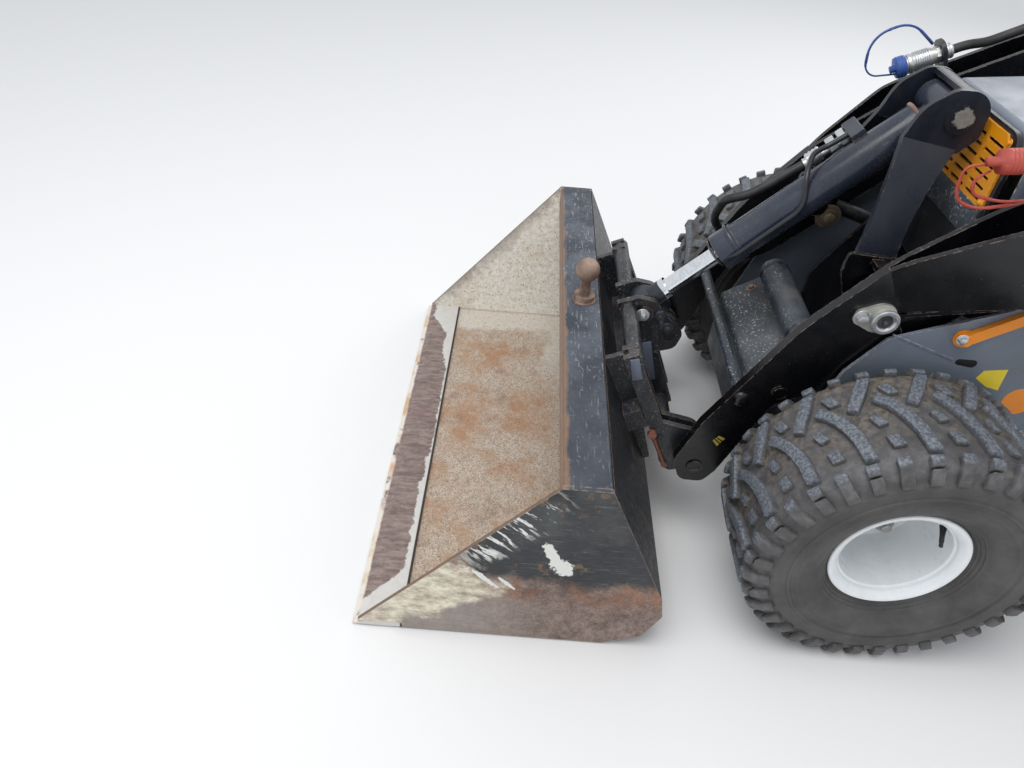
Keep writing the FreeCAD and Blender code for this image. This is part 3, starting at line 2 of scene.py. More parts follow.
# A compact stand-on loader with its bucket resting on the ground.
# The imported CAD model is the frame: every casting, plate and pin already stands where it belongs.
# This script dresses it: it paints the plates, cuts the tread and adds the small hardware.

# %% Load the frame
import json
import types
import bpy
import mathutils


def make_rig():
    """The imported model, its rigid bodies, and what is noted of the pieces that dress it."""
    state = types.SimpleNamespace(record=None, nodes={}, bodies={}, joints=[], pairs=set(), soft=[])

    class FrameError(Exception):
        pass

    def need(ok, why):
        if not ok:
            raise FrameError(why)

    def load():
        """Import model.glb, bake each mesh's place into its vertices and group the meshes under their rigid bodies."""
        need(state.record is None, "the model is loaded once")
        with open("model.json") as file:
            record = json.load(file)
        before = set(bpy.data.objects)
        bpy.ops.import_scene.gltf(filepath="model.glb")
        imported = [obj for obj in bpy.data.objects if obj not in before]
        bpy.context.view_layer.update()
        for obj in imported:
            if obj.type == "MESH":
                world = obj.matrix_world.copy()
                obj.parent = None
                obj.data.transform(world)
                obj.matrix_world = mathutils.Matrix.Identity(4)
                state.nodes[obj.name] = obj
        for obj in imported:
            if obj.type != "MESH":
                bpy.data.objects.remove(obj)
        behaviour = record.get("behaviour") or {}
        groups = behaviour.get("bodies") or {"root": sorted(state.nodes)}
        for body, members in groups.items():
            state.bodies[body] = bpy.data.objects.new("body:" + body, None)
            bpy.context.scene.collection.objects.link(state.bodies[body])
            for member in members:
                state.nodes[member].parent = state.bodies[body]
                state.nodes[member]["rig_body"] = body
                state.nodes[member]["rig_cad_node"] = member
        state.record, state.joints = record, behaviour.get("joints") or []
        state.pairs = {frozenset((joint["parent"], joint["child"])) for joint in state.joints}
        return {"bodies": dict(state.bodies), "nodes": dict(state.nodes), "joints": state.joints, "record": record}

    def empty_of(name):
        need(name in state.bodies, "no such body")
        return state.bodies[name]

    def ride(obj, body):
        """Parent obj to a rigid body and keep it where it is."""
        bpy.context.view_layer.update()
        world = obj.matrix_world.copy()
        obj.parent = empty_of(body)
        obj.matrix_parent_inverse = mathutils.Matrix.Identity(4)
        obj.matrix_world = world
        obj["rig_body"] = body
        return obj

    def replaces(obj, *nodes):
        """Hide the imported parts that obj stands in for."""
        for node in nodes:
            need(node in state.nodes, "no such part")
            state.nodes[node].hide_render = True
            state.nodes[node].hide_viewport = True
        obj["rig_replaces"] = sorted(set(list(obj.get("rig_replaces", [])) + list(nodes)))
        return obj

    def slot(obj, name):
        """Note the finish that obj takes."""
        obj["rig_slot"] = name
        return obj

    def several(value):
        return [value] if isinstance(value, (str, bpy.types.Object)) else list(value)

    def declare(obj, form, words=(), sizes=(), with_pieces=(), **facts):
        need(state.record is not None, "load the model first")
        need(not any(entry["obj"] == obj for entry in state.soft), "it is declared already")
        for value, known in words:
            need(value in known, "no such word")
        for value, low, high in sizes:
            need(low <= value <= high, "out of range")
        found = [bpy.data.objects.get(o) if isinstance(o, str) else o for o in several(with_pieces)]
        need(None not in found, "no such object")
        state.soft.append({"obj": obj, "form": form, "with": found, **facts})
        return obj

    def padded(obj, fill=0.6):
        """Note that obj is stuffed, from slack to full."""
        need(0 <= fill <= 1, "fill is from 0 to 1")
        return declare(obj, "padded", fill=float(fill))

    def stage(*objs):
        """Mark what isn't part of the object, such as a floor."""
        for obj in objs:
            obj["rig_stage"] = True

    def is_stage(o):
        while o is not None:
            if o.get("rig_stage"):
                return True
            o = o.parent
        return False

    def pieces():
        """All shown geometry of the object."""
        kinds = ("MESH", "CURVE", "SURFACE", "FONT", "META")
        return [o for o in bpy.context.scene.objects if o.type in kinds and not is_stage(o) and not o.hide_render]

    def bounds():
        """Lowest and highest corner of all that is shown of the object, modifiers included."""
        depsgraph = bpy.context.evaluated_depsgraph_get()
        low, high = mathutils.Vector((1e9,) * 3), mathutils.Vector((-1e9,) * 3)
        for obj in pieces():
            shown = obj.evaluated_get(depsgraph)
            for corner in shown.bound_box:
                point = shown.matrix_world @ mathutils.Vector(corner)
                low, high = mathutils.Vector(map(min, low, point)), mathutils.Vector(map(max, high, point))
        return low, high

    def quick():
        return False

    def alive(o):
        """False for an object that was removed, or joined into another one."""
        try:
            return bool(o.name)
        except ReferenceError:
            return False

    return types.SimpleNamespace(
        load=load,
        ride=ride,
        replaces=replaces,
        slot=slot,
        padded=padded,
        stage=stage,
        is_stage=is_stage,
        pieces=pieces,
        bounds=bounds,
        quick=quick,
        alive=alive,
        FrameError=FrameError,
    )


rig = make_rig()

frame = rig.load()

import json
import math

import bpy
from mathutils import Matrix, Vector

CAD_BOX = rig.bounds()
NODES = frame["nodes"]
print("nodes", len(NODES), "bodies", len(frame["bodies"]))

# %% [markdown]
# The camera stands at the loader's front left, a little above the bonnet, and looks down at the bucket.
# It has the wide lens of a hand-held camera, and a slight roll, as a picture taken by hand has.

# %% Camera
camera_data = bpy.data.cameras.new("Camera")
camera = bpy.data.objects.new("Camera", camera_data)
bpy.context.scene.collection.objects.link(camera)
camera.location = (1.33177, -0.92479, 1.28245)
camera.rotation_euler = [math.radians(angle) for angle in (50.1996, -3.5504, 92.8083)]
camera_data.sensor_width = 36.0
camera_data.lens = 26.19
camera_data.clip_start = 0.02
bpy.context.scene.camera = camera

# %% [markdown]
# Soft daylight comes from a pale world, and one broad lamp from above gives the plates a gentle top light.
# The colours are written as they look, so a small function turns them into the linear values that shaders use.

# %% Light and floor
def shade(red, green, blue):
    """A colour of 0 to 255 values as the linear RGBA that a shader socket takes."""
    linear = [(c / 255 / 12.92) if c <= 10 else ((c / 255 + 0.055) / 1.055) ** 2.4 for c in (red, green, blue)]
    return (*linear, 1.0)


bpy.context.scene.view_settings.view_transform = "Standard"
world = bpy.data.worlds.new("Daylight")
bpy.context.scene.world = world
world.use_nodes = True
backdrop = world.node_tree.nodes["Background"]
backdrop.inputs["Color"].default_value = shade(243, 246, 250)
backdrop.inputs["Strength"].default_value = 0.82


def lamp(name, spot, aim, size, power):
    data = bpy.data.lights.new(name, "AREA")
    data.shape = "DISK"
    data.size = size
    data.energy = power
    made = bpy.data.objects.new(name, data)
    bpy.context.scene.collection.objects.link(made)
    made.location = spot
    made.rotation_euler = (Vector(aim) - Vector(spot)).to_track_quat("-Z", "Y").to_euler()
    return made


lamp("Sky_lamp", (1.2, -1.6, 4.2), (0, -0.3, 0.3), 3.0, 105)
lamp("Fill_lamp", (-3.0, 2.4, 3.0), (0, 0.2, 0.5), 2.5, 45)


def deselect():
    if bpy.context.object and bpy.context.object.mode != "OBJECT":
        bpy.ops.object.mode_set(mode="OBJECT")
    bpy.ops.object.select_all(action="DESELECT")


deselect()
bpy.ops.mesh.primitive_plane_add(size=14, location=(0, 0, 0))
floor = bpy.context.object
floor.name = "Floor"
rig.stage(floor)

# %% [markdown]
# A finish on a used machine is never one colour: paint varies, edges lose it first, dust settles on what faces up.
# One small class keeps the node graphs readable: it adds a node, feeds its sockets and names the common masks.

# %% Finish builder
class Finish:
    """A material under construction."""

    def __init__(self, name):
        self.material = bpy.data.materials.new(name)
        self.material.use_nodes = True
        self.tree = self.material.node_tree
        self.shader = self.tree.nodes["Principled BSDF"]
        place = self.add("ShaderNodeTexCoord")
        self.place = place.outputs["Object"]
        self.normal = place.outputs["Normal"]

    def feed(self, socket, value):
        if isinstance(value, bpy.types.NodeSocket):
            self.tree.links.new(value, socket)
        else:
            socket.default_value = value

    def add(self, kind, inputs=(), **settings):
        node = self.tree.nodes.new(kind)
        for key, value in settings.items():
            setattr(node, key, value)
        for key, value in dict(inputs).items():
            self.feed(node.inputs[key], value)
        return node

    def noise(self, scale, detail=4.0, stretch=None, turn=(0, 0, 0), rough=0.55):
        place = self.place
        if stretch:
            turned = [math.radians(angle) for angle in turn]
            place = self.add("ShaderNodeMapping", {"Vector": place, "Scale": stretch, "Rotation": turned}).outputs[0]
        inputs = {"Vector": place, "Scale": scale, "Detail": detail, "Roughness": rough}
        return self.add("ShaderNodeTexNoise", inputs).outputs[0]

    def ramp(self, value, low, high, start=0.0, end=1.0):
        inputs = {"Value": value, "From Min": low, "From Max": high, "To Min": start, "To Max": end}
        return self.add("ShaderNodeMapRange", inputs, clamp=True).outputs[0]

    def maths(self, operation, first, second=0.0):
        return self.add("ShaderNodeMath", {0: first, 1: second}, operation=operation).outputs[0]

    def mix(self, mask, first, second):
        return self.add("ShaderNodeMix", {"Factor": mask, 6: first, 7: second}, data_type="RGBA").outputs[2]

    def between(self, mask, first, second):
        return self.add("ShaderNodeMix", {"Factor": mask, 2: first, 3: second}, data_type="FLOAT").outputs[0]

    def axis(self, vector, letter):
        return self.add("ShaderNodeSeparateXYZ", {0: vector}).outputs[letter]

    def dot(self, first, second):
        return self.add("ShaderNodeVectorMath", {0: first, 1: second}, operation="DOT_PRODUCT").outputs["Value"]

    def towards(self, point):
        """1 where the surface faces a point, 0 where it faces away from it."""
        gap = self.add("ShaderNodeVectorMath", {0: point, 1: self.place}, operation="SUBTRACT").outputs[0]
        return self.ramp(self.dot(gap, self.normal), -0.001, 0.001)

    def edge(self, radius, low=0.02, high=0.25):
        """1 along sharp edges, within about radius of them."""
        bevel = self.add("ShaderNodeBevel", {"Radius": radius}, samples=4).outputs[0]
        flat = self.add("ShaderNodeNewGeometry").outputs["Normal"]
        return self.ramp(self.maths("SUBTRACT", 1.0, self.dot(bevel, flat)), low, high)

    def bump(self, height, strength=0.3, distance=0.002):
        inputs = {"Height": height, "Strength": strength, "Distance": distance}
        self.feed(self.shader.inputs["Normal"], self.add("ShaderNodeBump", inputs).outputs[0])

    def surface(self, colour, roughness, metallic=0.0, **others):
        self.feed(self.shader.inputs["Base Color"], colour)
        self.feed(self.shader.inputs["Roughness"], roughness)
        self.feed(self.shader.inputs["Metallic"], metallic)
        for key, value in others.items():
            self.shader.inputs[key.replace("_", " ")].default_value = value
        return self.material


# %% [markdown]
# Painted steel is the loader's main finish. Its graph is the same for every colour: a slow change of tone,
# fine scratches, edges worn to metal, a few chips, and dust on what faces the sky. Each paint only changes
# the amounts, which is also how the real panels differ: the same paint shop, another life.

# %% Painted steel
RUST = shade(108, 66, 42)
BARE = shade(132, 126, 118)
DUST = shade(140, 136, 130)


def painted(name, paint, tone, bare=BARE, edge=0.003, wear=0.5, chips=0.74, dust=0.3, gloss=0.36,
            scratch=0.69, seed=0.0, film=0.25, specks=0.0):
    f = Finish(name)
    colour = f.mix(f.ramp(f.noise(4 + seed, 5), 0.35, 0.68), paint, tone)
    lines = f.noise(26 + seed, 6, stretch=(1.0, 16.0, 16.0), turn=(20, 0, 35))
    scratches = f.ramp(lines, scratch, scratch + 0.03, 0.0, 0.5)
    colour = f.mix(scratches, colour, bare)
    broken = f.ramp(f.noise(70, 6), 1 - wear, 1.1 - wear)
    worn = f.maths("MULTIPLY", f.edge(edge), broken)
    chipped = f.ramp(f.noise(34 + seed, 8, rough=0.7), chips, chips + 0.02)
    lost = f.maths("MAXIMUM", worn, chipped)
    under = f.mix(f.ramp(f.noise(120, 3), 0.45, 0.6), bare, RUST)
    colour = f.mix(lost, colour, under)
    up = f.ramp(f.axis(f.normal, "Z"), 0.3, 0.95)
    settled = f.maths("MULTIPLY", up, f.ramp(f.noise(11, 8, rough=0.68), 0.4, 0.75, 0.0, dust))
    dried = f.ramp(f.noise(52, 5, stretch=(1.0, 1.0, 0.22)), 0.5, 0.8, 0.0, dust * film)
    veil = f.maths("MAXIMUM", settled, dried)
    colour = f.mix(veil, colour, DUST)
    if specks:
        spots = f.maths("MULTIPLY", f.ramp(f.noise(210, 3), 0.6, 0.66), f.ramp(f.noise(9, 6), 0.4, 0.6))
        colour = f.mix(f.maths("MULTIPLY", spots, specks), colour, shade(196, 196, 186))
    rough = f.ramp(f.noise(22, 5), 0.3, 0.7, gloss - 0.06, gloss + 0.1)
    rough = f.maths("ADD", rough, f.maths("MULTIPLY", f.maths("MAXIMUM", veil, lost), 0.35))
    relief = f.maths("ADD", f.maths("MULTIPLY", f.noise(420, 2), 0.25), f.maths("MULTIPLY", lost, -0.6))
    f.bump(relief, 0.2, 0.0006)
    return f.surface(colour, rough)


black_paint = painted("Black_paint", shade(21, 22, 26), shade(35, 37, 42), dust=0.25)
arm_paint = painted("Arm_black_paint", shade(7, 8, 11), shade(14, 15, 20), bare=shade(150, 142, 130),
                    edge=0.0026, wear=0.56, dust=0.06, gloss=0.24, seed=1.7, film=0.15)
portal_paint = painted("Portal_blue_black", shade(24, 27, 36), shade(34, 39, 50), bare=shade(120, 116, 110),
                       edge=0.0022, wear=0.5, dust=0.15, gloss=0.27, seed=4.4, film=0.2)
barrel_paint = painted("Barrel_blue_black", shade(32, 36, 46), shade(50, 57, 72), bare=shade(128, 120, 108),
                       edge=0.003, wear=0.55, dust=0.2, gloss=0.18, seed=0.9, film=0.3, specks=0.08)
scuffed_paint = painted("Scuffed_tube_paint", shade(34, 38, 45), shade(54, 60, 70), bare=shade(214, 210, 198),
                        edge=0.003, wear=0.55, chips=0.64, dust=0.2, gloss=0.3, seed=5.3, specks=0.6)
tub_paint = painted("Tub_dusty_paint", shade(42, 47, 54), shade(64, 72, 82), bare=shade(150, 148, 138),
                    edge=0.003, wear=0.5, chips=0.7, dust=0.5, gloss=0.4, seed=3.7, film=0.5, specks=0.85)
grey_paint = painted("Grey_panel_paint", shade(114, 124, 138), shade(94, 101, 110), bare=shade(206, 204, 196),
                     edge=0.0025, wear=0.6, chips=0.76, dust=0.25, gloss=0.33, seed=0.6, specks=0.15)
yellow_paint = painted("Golden_yellow_paint", shade(240, 158, 18), shade(224, 142, 14), bare=shade(240, 204, 130),
                       edge=0.002, wear=0.6, chips=0.78, dust=0.12, gloss=0.33, seed=2.3)
orange_paint = painted("Strut_orange_paint", shade(246, 152, 24), shade(232, 134, 16), bare=shade(96, 84, 70),
                       edge=0.002, wear=0.5, chips=0.7, dust=0.12, gloss=0.35, seed=2.9)
# The smooth flat bars on the link: grey paint, with a painted reflection of the sky worked into its light blue-grey.
bar_grey_and_reflection = painted("Flat_bar_grey_and_painted_reflection", shade(92, 98, 116), shade(104, 110, 126), bare=shade(170, 172, 176),
                    edge=0.002, wear=0.4, chips=0.8, dust=0.1, gloss=0.3, seed=6.1)
frame_paint = painted("Hitch_frame_paint", shade(24, 26, 31), shade(42, 45, 52), bare=shade(138, 122, 106),
                      edge=0.003, wear=0.6, chips=0.68, dust=0.3, gloss=0.34, scratch=0.63, seed=7.7, film=0.5, specks=0.3)
white_paint = painted("White_wheel_paint", shade(238, 241, 243), shade(226, 229, 231), bare=shade(140, 130, 118),
                      edge=0.002, wear=0.35, chips=0.78, dust=0.25, gloss=0.3, seed=3.1, film=0.5)
print("paints ready")

# %% [markdown]
# The bucket tells where it works: outside it keeps blue-black paint with pale scrapes, and a mauve-brown crust
# along its floor; inside it is scoured to tan steel with orange rust, and cement stays on the end plates and
# in the corners. Which side of a plate is meant comes from a point in the bucket's hollow: faces turned to it
# are inside. Masks that need a place, such as the chipped strip along the slanted edge, are distances from a line.

# %% Bucket steel
SLANT = (0.6506, 0.7593)
SLANT_FOOT = (-1.19, 0.005)
SEAM_Y = -1.095


def slant_masks(f, y, z):
    """Distance from the slanted edge of an end plate, and distance along it, both in metres."""
    dy = f.maths("SUBTRACT", y, SLANT_FOOT[0])
    dz = f.maths("SUBTRACT", z, SLANT_FOOT[1])
    across = f.maths("SUBTRACT", f.maths("MULTIPLY", dy, SLANT[1]), f.maths("MULTIPLY", dz, SLANT[0]))
    along = f.maths("ADD", f.maths("MULTIPLY", dy, SLANT[0]), f.maths("MULTIPLY", dz, SLANT[1]))
    return across, along


def splash(f, y, z, centre, size, tilt, wobble):
    """A ragged blot in the plane of an end plate."""
    dy = f.maths("SUBTRACT", y, centre[0])
    dz = f.maths("SUBTRACT", z, centre[1])
    c, s = math.cos(math.radians(tilt)), math.sin(math.radians(tilt))
    a = f.maths("ADD", f.maths("MULTIPLY", dy, c / size[0]), f.maths("MULTIPLY", dz, s / size[0]))
    b = f.maths("SUBTRACT", f.maths("MULTIPLY", dz, c / size[1]), f.maths("MULTIPLY", dy, s / size[1]))
    reach = f.maths("POWER", f.maths("ADD", f.maths("MULTIPLY", a, a), f.maths("MULTIPLY", b, b)), 0.5)
    return f.ramp(f.maths("ADD", reach, wobble), 1.06, 0.98)


def outside_steel(f, x, y, z, side, up, fine, grit, wander):
    paint = f.mix(f.ramp(f.noise(5, 5), 0.4, 0.65), shade(22, 24, 30), shade(42, 45, 51))
    level_marks = f.maths("MAXIMUM", f.noise(22, 7, stretch=(1.0, 1.0, 13.0), turn=(9, 0, 0)),
                          f.noise(18, 7, stretch=(1.0, 1.0, 15.0), turn=(-38, 0, 0)))
    upright_marks = f.noise(24, 7, stretch=(12.0, 1.0, 1.0))
    marks = f.between(side, upright_marks, level_marks)
    tinge = f.mix(f.ramp(f.noise(7, 6), 0.5, 0.66, 0.0, 0.6), paint, shade(84, 88, 88))
    colour = f.mix(f.ramp(marks, 0.6, 0.7, 0.0, 0.42), f.mix(side, paint, tinge), shade(118, 117, 114))
    curls = f.ramp(f.noise(21, 9, rough=0.78), 0.57, 0.63, 0.0, 0.75)
    colour = f.mix(curls, colour, f.mix(fine, shade(88, 66, 48), shade(142, 112, 80)))
    rail = f.maths("MULTIPLY", up, f.ramp(z, 0.40, 0.41))
    rail_scratches = f.ramp(f.noise(30, 6, stretch=(1.0, 9.0, 1.0), turn=(0, 0, 24)), 0.6, 0.68, 0.0, 0.6)
    rail_paint = f.mix(f.ramp(f.noise(13, 6), 0.4, 0.62), shade(52, 57, 67), shade(84, 90, 100))
    rail_paint = f.mix(f.ramp(f.noise(120, 6, rough=0.6), 0.6, 0.68, 0.0, 0.6), rail_paint, shade(160, 162, 166))
    rail_paint = f.mix(rail_scratches, rail_paint, shade(168, 170, 170))
    rail_paint = f.mix(f.ramp(x, 0.05, 0.4, 0.0, 0.55), rail_paint, shade(42, 46, 56))
    colour = f.mix(rail, colour, rail_paint)
    brown_lip = f.maths("MULTIPLY", rail, f.ramp(f.maths("ADD", y, f.maths("MULTIPLY", wander, 0.15)), -0.820, -0.826))
    colour = f.mix(f.maths("MULTIPLY", brown_lip, 0.9), colour, f.mix(fine, shade(92, 68, 54), shade(152, 122, 98)))
    across, along = slant_masks(f, y, z)
    rise = f.ramp(f.maths("ADD", y, f.maths("MULTIPLY", wander, 1.2)), -0.96, -1.01, 0.19, 0.33)
    height = f.maths("SUBTRACT", f.maths("ADD", f.between(side, 0.09, rise), f.maths("MULTIPLY", wander, 0.4)), z)
    low = f.ramp(height, -0.005, 0.02)
    strokes = f.noise(24, 9, stretch=(1.0, 1.0, 2.0), turn=(-35, 0, 0), rough=0.78)
    mottled = f.maths("ADD", f.maths("MULTIPLY", grit, 0.3), f.maths("MULTIPLY", f.noise(34, 9, rough=0.78), 0.7))
    mauve = f.mix(f.ramp(mottled, 0.4, 0.6), shade(88, 69, 60), shade(150, 130, 119))
    cream = f.mix(f.ramp(strokes, 0.36, 0.6), shade(150, 134, 116), shade(232, 224, 202))
    lobe = f.maths("MULTIPLY", f.maths("ABSOLUTE", f.maths("SUBTRACT", z, 0.15)), 1.6)
    creamy = f.ramp(f.maths("ADD", f.maths("ADD", y, lobe), f.maths("MULTIPLY", wander, 1.1)), -0.875, -0.91)
    mauve = f.mix(f.ramp(y, -0.80, -0.98, 0.0, 0.6), mauve, f.mix(strokes, shade(122, 114, 110), shade(184, 176, 170)))
    crust = f.mix(f.maths("MULTIPLY", creamy, side), mauve, cream)
    rusty = f.maths("MULTIPLY", f.ramp(f.maths("ABSOLUTE", f.maths("SUBTRACT", height, 0.03)), 0.055, 0.01),
                    f.ramp(f.noise(19, 8, rough=0.7), 0.4, 0.58))
    crust = f.mix(f.maths("MULTIPLY", rusty, 0.9), crust, f.mix(f.ramp(f.noise(15, 8, rough=0.75), 0.42, 0.6), shade(84, 60, 48), shade(160, 104, 68)))
    colour = f.mix(low, colour, crust)
    streak_place = f.add("ShaderNodeCombineXYZ", {0: along, 1: f.maths("MULTIPLY", across, 0.16), 2: x}).outputs[0]
    streaks = f.add("ShaderNodeTexNoise", {"Vector": streak_place, "Scale": 88.0, "Detail": 8.0,
                                           "Roughness": 0.6}).outputs[0]
    chips = f.maths("MULTIPLY", f.ramp(streaks, 0.545, 0.575), f.ramp(along, 0.29, 0.34))
    chips = f.maths("MULTIPLY", chips, f.ramp(f.maths("ADD", across, f.maths("MULTIPLY", wander, 0.9)), 0.058, 0.022))
    chips = f.maths("MULTIPLY", f.maths("MULTIPLY", chips, side), f.ramp(along, 0.55, 0.52))
    wobble = f.maths("MULTIPLY", f.maths("SUBTRACT", f.noise(46, 8, rough=0.75), 0.5), 3.4)
    near = f.ramp(x, 0.5, 0.53)
    blot = f.maths("MAXIMUM", splash(f, y, z, (-0.830, 0.258), (0.036, 0.0095), -62, wobble),
                   splash(f, y, z, (-0.812, 0.228), (0.027, 0.016), -50, wobble))
    blot = f.maths("MAXIMUM", blot, splash(f, y, z, (-0.945, 0.180), (0.034, 0.005), -45, wobble))
    blot = f.maths("MULTIPLY", f.maths("MAXIMUM", blot, splash(f, y, z, (-0.905, 0.170), (0.024, 0.0035), -45, wobble)), near)
    return f.mix(f.maths("MAXIMUM", chips, blot), colour, shade(222, 222, 216))


def inside_steel(f, x, y, z, side, up, fine, grit, wander):
    tan = f.mix(f.ramp(f.maths("ADD", f.maths("MULTIPLY", fine, 0.4), f.maths("MULTIPLY", f.noise(280, 3), 0.6)), 0.4, 0.6),
                shade(150, 134, 118), shade(204, 189, 173))
    patch = f.maths("MULTIPLY", f.ramp(x, -0.48, -0.36), f.ramp(f.maths("ADD", y, wander), -0.79, -0.86))
    rust = f.maths("MULTIPLY", f.ramp(f.noise(6.5, 8, rough=0.72), 0.45, 0.61), patch)
    floor_steel = f.mix(f.maths("MULTIPLY", rust, 0.85), tan, f.mix(fine, shade(144, 104, 76), shade(188, 146, 108)))
    dark = f.maths("MULTIPLY", f.ramp(f.noise(11, 8, rough=0.7), 0.55, 0.68, 0.0, 0.5), patch)
    floor_steel = f.mix(dark, floor_steel, shade(112, 82, 66))
    far = f.ramp(f.maths("SUBTRACT", f.maths("MULTIPLY", wander, 0.7), x), 0.425, 0.455)
    rear = f.maths("MULTIPLY", f.ramp(f.maths("ADD", y, wander), -0.86, -0.82), f.ramp(x, -0.18, -0.36))
    pale = f.maths("MAXIMUM", far, rear)
    floor_steel = f.mix(f.maths("MULTIPLY", pale, 0.9), floor_steel, f.mix(fine, shade(184, 174, 158), shade(224, 219, 210)))
    back = f.mix(f.ramp(f.noise(40, 6, stretch=(14.0, 1.0, 1.0)), 0.35, 0.62), shade(66, 54, 48), shade(134, 112, 94))
    back = f.mix(f.maths("MULTIPLY", f.ramp(z, 0.365, 0.372), 1.0), back,
                 f.mix(fine, shade(96, 68, 52), shade(164, 138, 116)))
    inner = f.mix(up, back, floor_steel)
    plate = f.mix(f.ramp(fine, 0.35, 0.6), shade(222, 214, 196), shade(248, 246, 240))
    plate = f.mix(f.ramp(f.noise(8, 7), 0.52, 0.68, 0.0, 0.5), plate, shade(196, 174, 138))
    across, along = slant_masks(f, y, z)
    rubbed = f.ramp(f.maths("ADD", across, f.maths("MULTIPLY", wander, 0.6)), 0.035, 0.0, 0.0, 0.6)
    plate = f.mix(rubbed, plate, shade(120, 108, 96))
    inner = f.mix(side, inner, plate)
    return f.mix(f.ramp(grit, 0.59, 0.66, 0.0, 0.7), inner, shade(92, 74, 60))


def bucket_steel():
    f = Finish("Bucket_steel")
    x, y, z = (f.axis(f.place, letter) for letter in "XYZ")
    side = f.ramp(f.maths("ABSOLUTE", f.axis(f.normal, "X")), 0.7, 0.8)
    up = f.ramp(f.axis(f.normal, "Z"), 0.55, 0.75)
    grit = f.noise(240, 4)
    fine = f.noise(80, 7, rough=0.7)
    wander = f.maths("MULTIPLY", f.maths("SUBTRACT", f.noise(15, 7, rough=0.7), 0.5), 0.2)
    shared = (f, x, y, z, side, up, fine, grit, wander)
    hollow = f.towards((0, -0.93, 0.25))
    colour = f.mix(hollow, outside_steel(*shared), inside_steel(*shared))
    sawn = f.maths("MULTIPLY", f.ramp(f.axis(f.normal, "Y"), -0.6, -0.7), f.ramp(f.axis(f.normal, "Z"), 0.5, 0.6))
    colour = f.mix(sawn, colour, f.mix(fine, shade(62, 50, 43), shade(132, 106, 86)))
    worn = f.maths("MULTIPLY", f.edge(0.0035), f.ramp(fine, 0.42, 0.55))
    colour = f.mix(f.maths("MULTIPLY", worn, 0.75), colour, shade(176, 150, 124))
    rough = f.between(hollow, f.ramp(fine, 0.3, 0.7, 0.34, 0.6), f.ramp(fine, 0.3, 0.7, 0.6, 0.85))
    f.bump(f.maths("ADD", f.noise(150, 6), f.maths("MULTIPLY", grit, 0.5)), 0.3, 0.0012)
    return f.surface(colour, rough)


def worn_edge_steel():
    f = Finish("Cutting_edge_steel")
    x, y = f.axis(f.place, "X"), f.axis(f.place, "Y")
    fine = f.noise(80, 7, rough=0.7)
    grooves = f.noise(30, 8, stretch=(3.5, 1.0, 1.0), rough=0.65)
    colour = f.mix(f.ramp(grooves, 0.38, 0.62), shade(114, 96, 93), shade(152, 136, 128))
    colour = f.mix(f.ramp(fine, 0.56, 0.7, 0.0, 0.5), colour, shade(176, 162, 148))
    colour = f.mix(f.ramp(f.noise(10, 6), 0.54, 0.68, 0.0, 0.55), colour, shade(136, 106, 104))
    ragged = f.maths("MULTIPLY", f.maths("SUBTRACT", f.noise(38, 7, rough=0.7), 0.5), 0.035)
    width = f.maths("ADD", ragged, f.ramp(x, 0.05, 0.2, 0.007, 0.017))
    width = f.maths("ADD", width, f.ramp(x, -0.22, -0.33, 0.0, 0.02))
    width = f.maths("ADD", width, f.maths("ADD", f.ramp(x, -0.4, -0.48, 0.0, 0.045), f.ramp(x, 0.42, 0.50, 0.0, 0.07)))
    cement = f.ramp(f.maths("ADD", f.maths("SUBTRACT", y, SEAM_Y), width), -0.001, 0.002)
    colour = f.mix(cement, colour, f.mix(fine, shade(190, 186, 180), shade(224, 222, 218)))
    seam = f.ramp(y, SEAM_Y - 0.0045, SEAM_Y - 0.0035)
    colour = f.mix(seam, colour, shade(52, 44, 40))
    lip = f.maths("MULTIPLY", f.ramp(f.maths("ADD", y, f.maths("MULTIPLY", ragged, 0.25)), -1.177, -1.181),
                  f.ramp(f.noise(20, 5), 0.34, 0.42))
    colour = f.mix(lip, colour, f.mix(f.ramp(f.noise(12, 4), 0.5, 0.62), shade(224, 216, 204), shade(206, 170, 134)))
    relief = f.maths("ADD", fine, f.maths("MULTIPLY", f.maths("MAXIMUM", cement, lip), 0.6))
    f.bump(relief, 0.35, 0.001)
    return f.surface(colour, f.ramp(fine, 0.3, 0.7, 0.45, 0.7), 0.15)


bucket_finish = bucket_steel()
edge_finish = worn_edge_steel()
print("bucket finishes ready")

# %% [markdown]
# Bare metal parts: hard chrome on the cylinder rods, zinc plating on pins and fittings, brown rust on the tow
# ball. Their colour varies little, so most of the look is in the roughness: wipe marks, finger grease, pitting.

# %% Bare metals
def metal(name, colour, tone, rough, spread=0.15, grain=(1, 1, 1), dirt=0.25, dirt_colour=DUST, bumpy=0.1,
          metallic=1.0):
    f = Finish(name)
    base = f.mix(f.ramp(f.noise(14, 5), 0.4, 0.65), colour, tone)
    marks = f.noise(90, 5, stretch=grain)
    stain = f.ramp(f.noise(28, 8, rough=0.7), 0.52, 0.7, 0.0, dirt)
    base = f.mix(stain, base, dirt_colour)
    f.bump(f.maths("ADD", marks, f.maths("MULTIPLY", f.noise(500, 3), 0.5)), bumpy, 0.0006)
    roughness = f.maths("ADD", f.ramp(marks, 0.35, 0.65, rough, rough + spread), f.maths("MULTIPLY", stain, 0.5))
    return f.surface(base, roughness, f.maths("SUBTRACT", metallic, stain))


